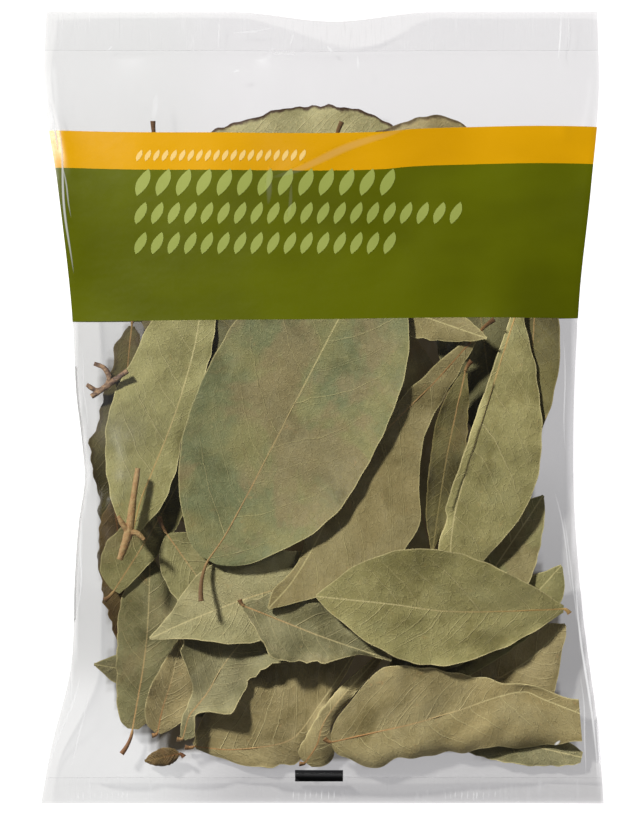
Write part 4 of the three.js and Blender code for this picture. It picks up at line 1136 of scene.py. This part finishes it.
# Creases: where each starts and ends, its half width and its height.
CREASES = [
    ((-57, -60), (-65, -88), 1.6, 0.8),
    ((-52, -66), (-58, -87), 1.4, -0.6),
    ((-61, -70), (-64.5, -84), 1.1, 0.5),
    ((60, -56), (64.5, -88), 1.3, 0.9),
    ((57.5, -66), (60, -88), 1.2, -0.5),
    ((-62, 84), (-58, 52), 1.6, 0.5),
    ((-20, 85), (-24, 68), 1.5, 0.35),
    ((-6, 84), (-4, 66), 2.2, -0.3),
    ((14, 84), (12, 70), 1.6, -0.3),
    ((58, 86), (57, 60), 1.5, 0.4),
    ((20, 65), (-12, 53), 2.4, 0.4),
    ((57, 10), (54, -18), 1.4, 0.4),
    ((-55, -6), (-54.5, -40), 1.2, 0.3),
    ((40, -80), (52, -88), 1.3, 0.4),
]


def creased(x, y):
    """The height that the film's creases add."""
    total = np.zeros_like(x)
    for (ax, ay), (bx, by), width, height in CREASES:
        length = math.hypot(bx - ax, by - ay)
        ux, uy = (bx - ax) / length, (by - ay) / length
        t = ((x - ax) * ux + (y - ay) * uy) / length
        off = (x - ax) * -uy + (y - ay) * ux
        off = off + 0.06 * length * np.sin(math.pi * np.clip(t, 0, 1))
        ends = smooth(t / 0.25) * smooth((1 - t) / 0.25)
        spread = width * lerp(0.7, 1.5, np.clip(t, 0, 1))
        total += height * ends * np.exp(-np.abs(off) / spread)
    return total


def pouch_surfaces():
    low = -MIDDLE + BOTTOM_SEAL - SEAM_OVERLAP
    high = MIDDLE - TOP_SEAL + SEAM_OVERLAP
    x, flat_y, y = film_plan(low, high, FILM_PITCH, FILM_PITCH)
    back = back_height(x, flat_y) + BACK_INSET
    seam = back_height(x, flat_y) + SEAM_RISE
    inward = np.minimum(x - left_side(flat_y), right_side(flat_y) - x)
    upward = np.minimum(flat_y - low, high - flat_y)
    taut = np.maximum(cad_front_height(x, y) - FRONT_INSET, back + LEAST_ROOM)
    front = lerp(seam, taut, smooth(np.minimum(inward / 2.0, upward / 6)))
    floor = np.maximum(held_up_by_leaves(x, y) + LEAF_CLEARANCE, back + LEAST_GAP)
    front = relax(front, floor, x, y, TAUT_SWEEPS, INFLATION)
    slack = creased(x, flat_y) + DENT_DEPTH * crinkle(3, DENT_SIZE, 12)(x, y)
    slack *= smooth(np.minimum(inward / 4, upward / 3))
    front = np.maximum(front + slack, floor)
    lifted = smooth(np.minimum(inward / 2.5, upward / 6))
    back = lerp(seam, back, lifted)
    front = np.where(lifted > 0, front, back)
    return x, y, front, back


def looped(front, back):
    """One closed loop of points round the packet for each row: over the front, under the back."""
    return np.concatenate([front, back[:, -2:0:-1]], axis=1)


def clear_layers(n, tint, mirror_tint, roughness, normal, shine, haze_tint, haze):
    """Clear film: light goes through, a little is mirrored and a little scattered."""
    clear = n.node("ShaderNodeBsdfTransparent")
    clear.inputs["Color"].default_value = tint
    gloss = n.node("ShaderNodeBsdfGlossy", Normal=normal)
    gloss.inputs["Color"].default_value = mirror_tint
    gloss.inputs["Roughness"].default_value = roughness
    scatter = n.node("ShaderNodeBsdfDiffuse")
    scatter.inputs["Color"].default_value = haze_tint
    return n.blended(haze, n.blended(shine, clear, gloss), scatter)


def film_material():
    n = Nodes("clear_film")
    spot = n.position_mm()
    ripple = n.noise(n.scaled(spot, 0.09, 0.035, 0.05), 1.0, detail=3, roughness=0.55)
    crackle = n.noise(n.scaled(spot, 0.5, 0.22, 0.3), 1.0, detail=2)
    normal = n.bump(ripple * 2.0 + crackle * 0.15, 0.15, 0.001)
    haze = crackle.rising(0.5, 0.85) * 0.008 + 0.002
    film = clear_layers(n, (0.845, 0.845, 0.847, 1), (1, 1, 1, 1), 0.38, normal,
                        n.sheen(normal, 0.0035), (0.92, 0.91, 0.89, 1), haze)
    return n.surface(film.outputs[0])


def weld(piece):
    """Joins the points that lie in one place, as where the two panels meet at a seal."""
    mesh = bmesh.new()
    mesh.from_mesh(piece.data)
    bmesh.ops.remove_doubles(mesh, verts=mesh.verts, dist=1e-7)
    mesh.to_mesh(piece.data)
    mesh.free()


def add_pouch():
    x, y, front, back = pouch_surfaces()
    loop = looped(np.stack([x, y, front], -1), np.stack([x, y, back], -1))
    rows, around = loop.shape[:2]
    faces = grid_quads(rows, around, closed=True, flipped=True)
    piece = mesh_object("film_pouch", loop.reshape(-1, 3), faces)
    weld(piece)
    piece.data.set_sharp_from_angle(angle=math.radians(70))
    piece.data.materials.append(film_material())
    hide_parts("film_front", "film_back")
    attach(piece, "root")
    return x, y, front, back


pouch = add_pouch()

# ---------- the crimped seals ----------
CRIMP_PITCH = 1.3
CRIMP_DEPTH = 0.2
SEAL_SHEET = 0.16


def seal_top(x, y):
    """The height that no ridge of a seal goes over."""
    return back_height(x, y) + SEAM_RISE + CRIMP_DEPTH + SEAL_SHEET


def seal_material():
    n = Nodes("crimped_film")
    spot = n.position_mm()
    press = n.noise(n.scaled(spot, 1.6, 0.12, 0.2), 1.0, detail=2)
    patch = n.noise(n.scaled(spot, 0.06, 0.02, 0.05), 1.0, detail=2)
    shine = patch.rising(0.35, 0.7) * 0.005 + 0.002
    haze = press.rising(0.5, 0.75) * 0.025 + 0.004
    film = clear_layers(n, (0.834, 0.834, 0.836, 1), (0.8, 0.8, 0.8, 1), 0.25,
                        n.bump(press, 0.2, 0.0004), shine, (0.88, 0.88, 0.9, 1), haze)
    return n.surface(film.outputs[0])


def add_seal(name, low, high, material, seed):
    x, flat_y, y = film_plan(low, high, 0.32, 1.1)
    strength = 0.65 + 0.35 * undulation(seed, 4, 0.08, 0.3)(x)
    across = np.sin(2 * math.pi * x / CRIMP_PITCH)
    ends = smooth((flat_y - low) / 1.2) * smooth((high - flat_y) / 0.5 + 0.4)
    z = back_height(x, flat_y) + SEAM_RISE + CRIMP_DEPTH * across * strength * ends
    z += 0.25 * undulation(seed + 1, 4, 0.05, 0.16)(x) * smooth((np.abs(flat_y) - 82) / 8)
    sheet = np.stack([x, y, z], -1).transpose(1, 0, 2)
    lift = np.array([0, 0, SEAL_SHEET / 2])
    points, faces = slab(sheet + lift, sheet - lift)
    piece = mesh_object(name, points, faces, sharp=60)
    piece.data.materials.append(material)
    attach(piece, "root")


crimped = seal_material()
add_seal("seal_foot", -MIDDLE, -MIDDLE + BOTTOM_SEAL, crimped, 41)
add_seal("seal_head", MIDDLE - TOP_SEAL, MIDDLE, crimped, 42)


# ---------- the printed band ----------
ORANGE_TOP = 65.0
ORANGE_FOOT = 56.2
GREEN_FOOT = 20.3

# How far each edge of the print strays up or down, by place across the packet.
ORANGE_WANDER = [
    (62, 0.2), (56, 0.5), (45, 0.6), (33, 0.3), (20, -0.2), (13, -0.9), (0, -1.2), (-22, -1),
    (-40, -0.9), (-54, -0.5), (-62, -0.3),
]
GREEN_WANDER = [(62, 0.4), (30, 0.5), (0, 0.1), (-30, -0.1), (-62, -0.5)]


def rows_at(grid, y, wanted):
    """A film grid's values at other places along its columns, on the lines between its own."""
    own = y[:, 0]
    return np.stack([np.interp(wanted[:, i], own, grid[:, i]) for i in range(grid.shape[1])], -1)


def band_loop(low, high, foot_wander, head_wander):
    x, y, front, back = pouch
    rows = max(3, round((high - low) / FILM_PITCH)) + 1
    share = np.linspace(0, 1, rows)[:, None]
    foot = low + along(foot_wander, x[len(x) // 2])
    head = high + along(head_wander, x[len(x) // 2])
    wanted = lerp(foot, head, share)
    grids = [rows_at(grid, y, wanted) for grid in (x, front, back)]
    over = np.stack([grids[0], wanted, grids[1]], -1)
    under = np.stack([grids[0], wanted, grids[2]], -1)
    return looped(over, under)


def ink_material(name, plain, deep, rough):
    """Opaque ink on film: slightly uneven, with the film's gloss over it."""
    n = Nodes(name)
    spot = n.position_mm()
    cloud = n.noise(n.scaled(spot, 0.03, 0.045, 0.03), 1.0, detail=3)
    fleck = n.noise(spot, 1.4, detail=2)
    ripple = n.noise(n.scaled(spot, 0.05, 0.09, 0.05), 1.0, detail=3)
    colour = n.mix(cloud.rising(0.3, 0.7), deep, plain)
    colour = n.mix(fleck.rising(0.5, 0.8) * 0.12, colour, (1.15, 1.15, 1.15, 1), "MULTIPLY")
    shader = n.node("ShaderNodeBsdfPrincipled", Base_Color=colour)
    n.put(shader.inputs["Roughness"], fleck * 0.1 + rough)
    n.put(shader.inputs["Normal"], n.bump(ripple, 0.3, 0.001))
    shader.inputs["Specular IOR Level"].default_value = 0.1
    return n.surface(shader.outputs[0])


def add_band(name, low, high, foot_wander, head_wander, material):
    loop = band_loop(low, high, foot_wander, head_wander)
    normal = -grid_normals(loop, closed=True)
    outer = loop + normal * 2 * INK
    inner = loop + normal * INK
    rows, around = loop.shape[:2]
    points = np.concatenate([outer.reshape(-1, 3), inner.reshape(-1, 3)])
    faces = grid_quads(rows, around, closed=True, flipped=True)
    faces += grid_quads(rows, around, first=rows * around, closed=True)
    ring = np.append(np.arange(around), 0)
    shift = rows * around
    faces += rim_quads(ring, ring + shift, flipped=True)
    last = (rows - 1) * around
    faces += rim_quads(ring + last, ring + last + shift)
    piece = mesh_object(name, points, faces, sharp=60)
    piece.data.materials.append(material)
    piece.visible_shadow = False  # the light comes in round it
    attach(piece, "root")


add_band("band_orange", ORANGE_FOOT, ORANGE_TOP, ORANGE_WANDER, ORANGE_WANDER,
         ink_material("ink_orange", srgb(166, 121, 1), srgb(156, 112, 0), 0.25))
add_band("band_green", GREEN_FOOT, ORANGE_FOOT, GREEN_WANDER, ORANGE_WANDER,
         ink_material("ink_green", srgb(70, 75, 1), srgb(60, 64, 0), 0.25))


# ---------- painted highlights: white glowing strips where folds in the film catch the light ---
# From one end to the other, half width, and how white it is.
STREAKS = [
    ((55.7, 92.2), (55.3, 80.6), 0.26, 0.8),
    ((57.6, 92.2), (57.4, 82), 0.2, 0.5),
    ((-63.6, 72), (-61.6, 60), 0.3, 0.7),
    ((-61.9, 66), (-57.6, 31), 0.34, 0.55),
    ((-60.6, 58), (-58.4, 44), 0.24, 0.35),
    ((-50.3, 83.4), (-49.2, 84.4), 0.3, 0.6),
    ((-21.2, 78.2), (-19, 78.8), 0.4, 0.6),
    ((-24, 91), (-24.4, 84), 0.3, 0.35),
    ((-21, 87.4), (-12, 88.4), 0.3, 0.4),
    ((-6.5, 88), (-7.6, 84.6), 0.3, 0.35),
    ((1, 84.4), (2.4, 83), 0.4, 0.6),
    ((8.2, 82), (8.4, 78.6), 0.35, 0.4),
    ((-38.6, 73.4), (-39.4, 66.6), 0.9, 0.3),
    ((20, 65.4), (-12, 53.6), 1.1, 0.06),
    ((-12.2, 56), (-12.6, 47), 0.8, 0.05),
    ((-7, 52), (-8, 44), 0.5, 0.04),
    ((-56.2, -62), (-65, -87), 0.3, 0.5),
    ((-54, -66), (-59, -84), 0.24, 0.35),
    ((-58.6, -56), (-58.2, -70), 0.22, 0.3),
    ((58.4, -39), (64.4, -87), 0.34, 0.7),
    ((53.6, -19), (58.6, -44), 0.22, 0.3),
    ((55.6, -24), (59.8, -52), 0.2, 0.3),
    ((60, -62), (61.6, -86), 0.24, 0.35),
    ((55.6, 17), (56.6, -10), 0.2, 0.35),
    ((-55.8, 14), (-54.6, -6), 0.2, 0.3),
    ((-55.6, -26), (-56.8, -50), 0.24, 0.4),
    ((54, -78.6), (55.4, -77.6), 0.4, 0.6),
]


def front_at(px, py):
    """Height of the front film at a place, from the grid that the pouch was made of."""
    x, y, front, _ = pouch
    row = (py - y[0, 0]) / (y[-1, 0] - y[0, 0]) * (len(y) - 1)
    j = int(np.clip(row, 0, len(y) - 2))
    heights = [np.interp(px, x[k], front[k]) for k in (j, j + 1)]
    return lerp(heights[0], heights[1], row - j)


def film_top(px, py):
    """The same, and the top of a seal beyond the pouch's ends."""
    if -MIDDLE + BOTTOM_SEAL < py < MIDDLE - TOP_SEAL:
        return front_at(px, py)
    return float(seal_top(np.array(px), np.array(py)))


# Where the ridges of a seal catch it: the first, the last, and their ends up and down the packet.
CRIMP_GLINTS = [
    (-60.6, -53, 92.2, 87.8),
    (-6.6, 3.2, -89.6, -92),
    (28.6, 41.2, -89.6, -92),
    (-57, -45, -89.8, -92),
]


def crimp_streaks():
    for number, (first, last, top, foot) in enumerate(CRIMP_GLINTS):
        rng = np.random.default_rng(70 + number)
        for x in np.arange(first, last, CRIMP_PITCH):
            across = x + rng.uniform(-0.3, 0.3)
            low = foot + rng.uniform(0, 0.8)
            yield (across, top), (across - 0.1, low), rng.uniform(0.1, 0.2), rng.uniform(0.15, 0.5)


def streak_material():
    n = Nodes("painted_film_glint")
    # Painted highlight: each strip glows white along its middle and is clear at its sides.
    white = n.node("ShaderNodeEmission")
    white.inputs["Color"].default_value = (1, 1, 1, 1)
    white.inputs["Strength"].default_value = 0.95
    clear = n.node("ShaderNodeBsdfTransparent")
    film = n.blended(n.attribute("glint_whiteness").outputs["Fac"], clear, white)
    return n.surface(film.outputs[0])


def add_streaks():
    points, faces, whites = [], [], []
    steps, lanes = 21, (-1, -0.4, 0.4, 1)
    for (ax, ay), (bx, by), half, strength in [*STREAKS, *crimp_streaks()]:
        length = math.hypot(bx - ax, by - ay)
        side = np.array([-(by - ay), bx - ax]) / length
        wander = undulation(round(1000 + 7 * ax + ay), 3, 3, 9)
        t = np.linspace(0, 1, steps)
        middle = lerp(np.array([[ax, ay]]), np.array([[bx, by]]), t[:, None])
        middle = middle + side * (0.012 * length * wander(t))[:, None]
        thick = half * np.sin(math.pi * lerp(0.06, 0.94, t)) ** 0.7
        first = len(points)
        for k in range(steps):
            for lane in lanes:
                px, py = middle[k] + side * lane * thick[k]
                points.append((px, py, film_top(px, py) + GLINT_LIFT))
                whites.append(strength * (abs(lane) < 0.5) * math.sin(math.pi * t[k]) ** 0.6)
        faces += grid_quads(steps, len(lanes), first=first)
    piece = mesh_object("painted_glint_strips", points, faces)
    add_attribute(piece.data, "glint_whiteness", "FLOAT", whites)
    piece.data.materials.append(streak_material())
    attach(piece, "root")


add_streaks()


# ---------- small printed marks: plain leaf shapes where a label would have its lines ----------
# Each row: left end, right end, middle height up the packet, height of a mark.
MARK_ROWS = [
    (-44.1, 18.7, 52.3, 6.4),
    (-44.1, 31.5, 45.1, 5.2),
    (-44.1, 18.0, 38.1, 5.2),
]
SMALL_ROW = (-43.6, -3.6, 58.6, 2.7)
MARK_LEAN = 0.42


def mark_outline(height, steps=9):
    """A pointed oval, leaning a little, with its foot at the origin's level."""
    t = np.linspace(0, 1, steps)
    half = 0.23 * height * np.sin(math.pi * t) ** 0.8
    right = np.stack([half + MARK_LEAN * height * (t - 0.5), height * (t - 0.5)], -1)
    left = np.stack([-half + MARK_LEAN * height * (t - 0.5), height * (t - 0.5)], -1)
    return np.concatenate([right, left[-2:0:-1]])


def add_marks(name, rows, material):
    points, faces = [], []
    for start, end, middle, height in rows:
        step = 0.74 * height
        for k in range(round((end - start) / step)):
            ring = mark_outline(height) + (start + step * (k + 0.5), middle)
            lift = [front_at(px, py) for px, py in ring]
            centre = ring.mean(0)
            top = np.column_stack([ring, np.array(lift) + MARK_LIFT])
            hub = (*centre, front_at(*centre) + MARK_LIFT)
            first, count = len(points), len(ring)
            points += [hub, *top, *(top - (0, 0, INK)), (hub[0], hub[1], hub[2] - INK)]
            for i in range(count):
                a, b = first + 1 + i, first + 1 + (i + 1) % count
                faces.append((first, a, b))
                faces.append((a, a + count, b + count, b))
                faces.append((first + 2 * count + 1, b + count, a + count))
    piece = mesh_object(name, points, faces, sharp=40)
    piece.data.materials.append(material)
    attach(piece, "root")


add_marks("marks_pale", MARK_ROWS,
          ink_material("ink_pale", srgb(119, 126, 62), srgb(110, 118, 55), 0.3))
add_marks("marks_cream", [SMALL_ROW],
          ink_material("ink_cream", srgb(180, 152, 90), srgb(172, 144, 82), 0.3))

# ---------- the black bar at the foot ----------
BAR = {"x": (-6.4, 4.8), "y": (-87.4, -84.4)}


def add_bar():
    gx, gy = np.meshgrid(np.linspace(*BAR["x"], 15), np.linspace(*BAR["y"], 7), indexing="ij")
    seal = seal_top(gx, gy)
    film = np.array([front_at(a, max(b, -MIDDLE + BOTTOM_SEAL)) for a, b in
                     zip(gx.ravel(), gy.ravel())]).reshape(gx.shape)
    z = np.maximum(seal, film) + 2 * INK
    top = np.stack([gx, gy, z + INK], -1)
    points, faces = slab(top, top - (0, 0, INK))
    piece = mesh_object("print_bar", points, faces, sharp=40)
    piece.data.materials.append(
        ink_material("ink_black", srgb(38, 38, 40), srgb(28, 28, 30), 0.4))
    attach(piece, "root")


add_bar()


# ---------- floor, lights and camera ----------
# The ground glows, as in a light tent, evenly in the open. Under the packet's left and right parts its glow
# is turned down into painted shade, more and more toward the right; under the leaves a dark painted shade
# takes its place.
GROUND_GLOW = 1.02
RIGHT_CAST = (1, 0.985, 1.005)  # the faint lilac of the ground at the right
# Painted shade: how far the glow is turned down under the packet's left and right parts, by place up the
# packet.
GLOW_LEFT = [(95, 0.88), (68, 0.76), (20, 0.6), (-40, 0.56), (-58, 0.62), (-68, 0.84), (-95, 0.87)]
GLOW_RIGHT = [
    (95, 0.87), (64, 0.82), (28, 0.62), (-8, 0.6), (-26, 0.5), (-62, 0.4), (-76, 0.52), (-86, 0.56),
    (-95, 0.52),
]
DEEP_SHADE = (0.036, 0.027, 0.014)  # painted shade: the dim brown glow of the ground under the leaves, standing for the lowest leaves in shadow
SHADE_CELL = 2
SHADE_REACH = (76, 100)  # how far its map reaches across and along from the middle


def leaf_cover():
    """The share of ground hidden by leaves round each cell of a map of the packet."""
    spots = np.concatenate([points[:, :2] for points in leaf_tops])
    edges = [np.arange(-half, half + 1, SHADE_CELL) for half in SHADE_REACH]
    count, _, _ = np.histogram2d(spots[:, 0], spots[:, 1], bins=edges)
    cover = (count > 0).astype(float)
    for axis in (0, 1) * 3:
        cover = (np.roll(cover, 1, axis) + cover + np.roll(cover, -1, axis)) / 3
    return cover


def ground_glow(x, y):
    side = smooth((x + 45) / 30)
    shaded = lerp(along(GLOW_LEFT, y), along(GLOW_RIGHT, y), side)
    inward = np.minimum(x - left_side(y), right_side(y) - x)
    inward = np.minimum(inward, MIDDLE - np.abs(y))
    cover = leaf_cover()
    i = np.clip((x + SHADE_REACH[0]) / SHADE_CELL, 0, cover.shape[0] - 1).astype(int)
    j = np.clip((y + SHADE_REACH[1]) / SHADE_CELL, 0, cover.shape[1] - 1).astype(int)
    # Painted shade under the leaves, wherever they hide the ground.
    under_leaves = smooth((cover[i, j] - 0.64) / 0.28)
    lilac = lerp(1, np.array(RIGHT_CAST), smooth(side)[..., None])
    glow = lerp(GROUND_GLOW, shaded, smooth((inward + 0.4) / 1.2))[..., None] * lilac
    return lerp(glow, np.array(DEEP_SHADE), under_leaves[..., None])


FLOOR_HALF = 1600


def add_floor():
    fine_x, fine_y = np.arange(-75, 75.1, 1), np.arange(-99, 99.1, 1)
    x, y = np.meshgrid([-FLOOR_HALF, *fine_x, FLOOR_HALF], [-FLOOR_HALF, *fine_y, FLOOR_HALF], indexing="ij")
    points = np.stack([x, y, np.full(x.shape, -0.1)], -1).reshape(-1, 3)
    turns = ((-1, -1), (-1, 1), (1, 1), (1, -1))
    underside = [(FLOOR_HALF * a, FLOOR_HALF * b, -1) for a, b in turns]
    faces = [*grid_quads(*x.shape), tuple(len(points) + k for k in range(4))]
    floor = mesh_object("floor", np.concatenate([points, underside]), faces)
    glow = np.concatenate([ground_glow(x, y).reshape(-1, 3), np.full((4, 3), GROUND_GLOW)])
    add_attribute(floor.data, "glow", "FLOAT_VECTOR", glow)
    n = Nodes("floor_white")
    grain = n.noise(n.position(), 900, detail=2)
    colour = n.mix(grain * 0.1, (0.22, 0.215, 0.205, 1), (0.18, 0.175, 0.165, 1))
    shader = n.node("ShaderNodeBsdfPrincipled", Base_Color=colour)
    shader.inputs["Roughness"].default_value = 0.85
    shader.inputs["Specular IOR Level"].default_value = 0.1
    # The ground's brightness comes from its glow map, which carries the painted shade; its own colour is
    # dark.
    shader.inputs["Emission Strength"].default_value = 1
    n.put(shader.inputs["Emission Color"], n.attribute("glow").outputs["Vector"])
    floor.data.materials.append(n.surface(shader.outputs[0]))


def add_light(name, azimuth, elevation, distance, size, power):
    """A square softbox facing the packet. Azimuth 0 is over the header, 90 over the left side."""
    a, e = math.radians(azimuth), math.radians(elevation)
    lamp = bpy.data.lights.new(name, "AREA")
    lamp.shape = "SQUARE"
    lamp.size = size
    lamp.energy = power
    light = bpy.data.objects.new(name, lamp)
    away = Vector((-math.sin(a) * math.cos(e), math.cos(a) * math.cos(e), math.sin(e)))
    light.location = away * distance
    light.rotation_mode = "QUATERNION"
    light.rotation_quaternion = away.to_track_quat("Z", "Y")
    bpy.context.scene.collection.objects.link(light)


def set_world(strength):
    world = bpy.data.worlds.new("studio")
    world.use_nodes = True
    background = world.node_tree.nodes["Background"]
    background.inputs["Color"].default_value = (1, 1, 1, 1)
    background.inputs["Strength"].default_value = strength
    bpy.context.scene.world = world


FRAME_HEIGHT = 0.1933  # metres of the packet's plane that the picture spans from top to bottom
FRAME_CENTRE = (-0.00174, -0.00186)
CAMERA_DISTANCE = 1.2
PLANE_HEIGHT = 0.008  # of that plane over the floor


def add_camera():
    data = bpy.data.cameras.new("camera")
    data.sensor_fit = "VERTICAL"
    data.sensor_height = 36
    data.lens = 36 * CAMERA_DISTANCE / FRAME_HEIGHT
    data.clip_start = 0.05
    data.clip_end = 20
    camera = bpy.data.objects.new("camera", data)
    camera.location = (*FRAME_CENTRE, CAMERA_DISTANCE + PLANE_HEIGHT)
    bpy.context.scene.collection.objects.link(camera)
    bpy.context.scene.camera = camera


add_floor()
add_light("key", 45, 44, 1.1, 0.1, 25)
add_light("right", -60, 40, 1.2, 0.2, 2.2)
add_light("foot", 165, 38, 1.3, 0.3, 1)
set_world(0.08)
add_camera()
bpy.context.scene.view_settings.view_transform = "Standard"
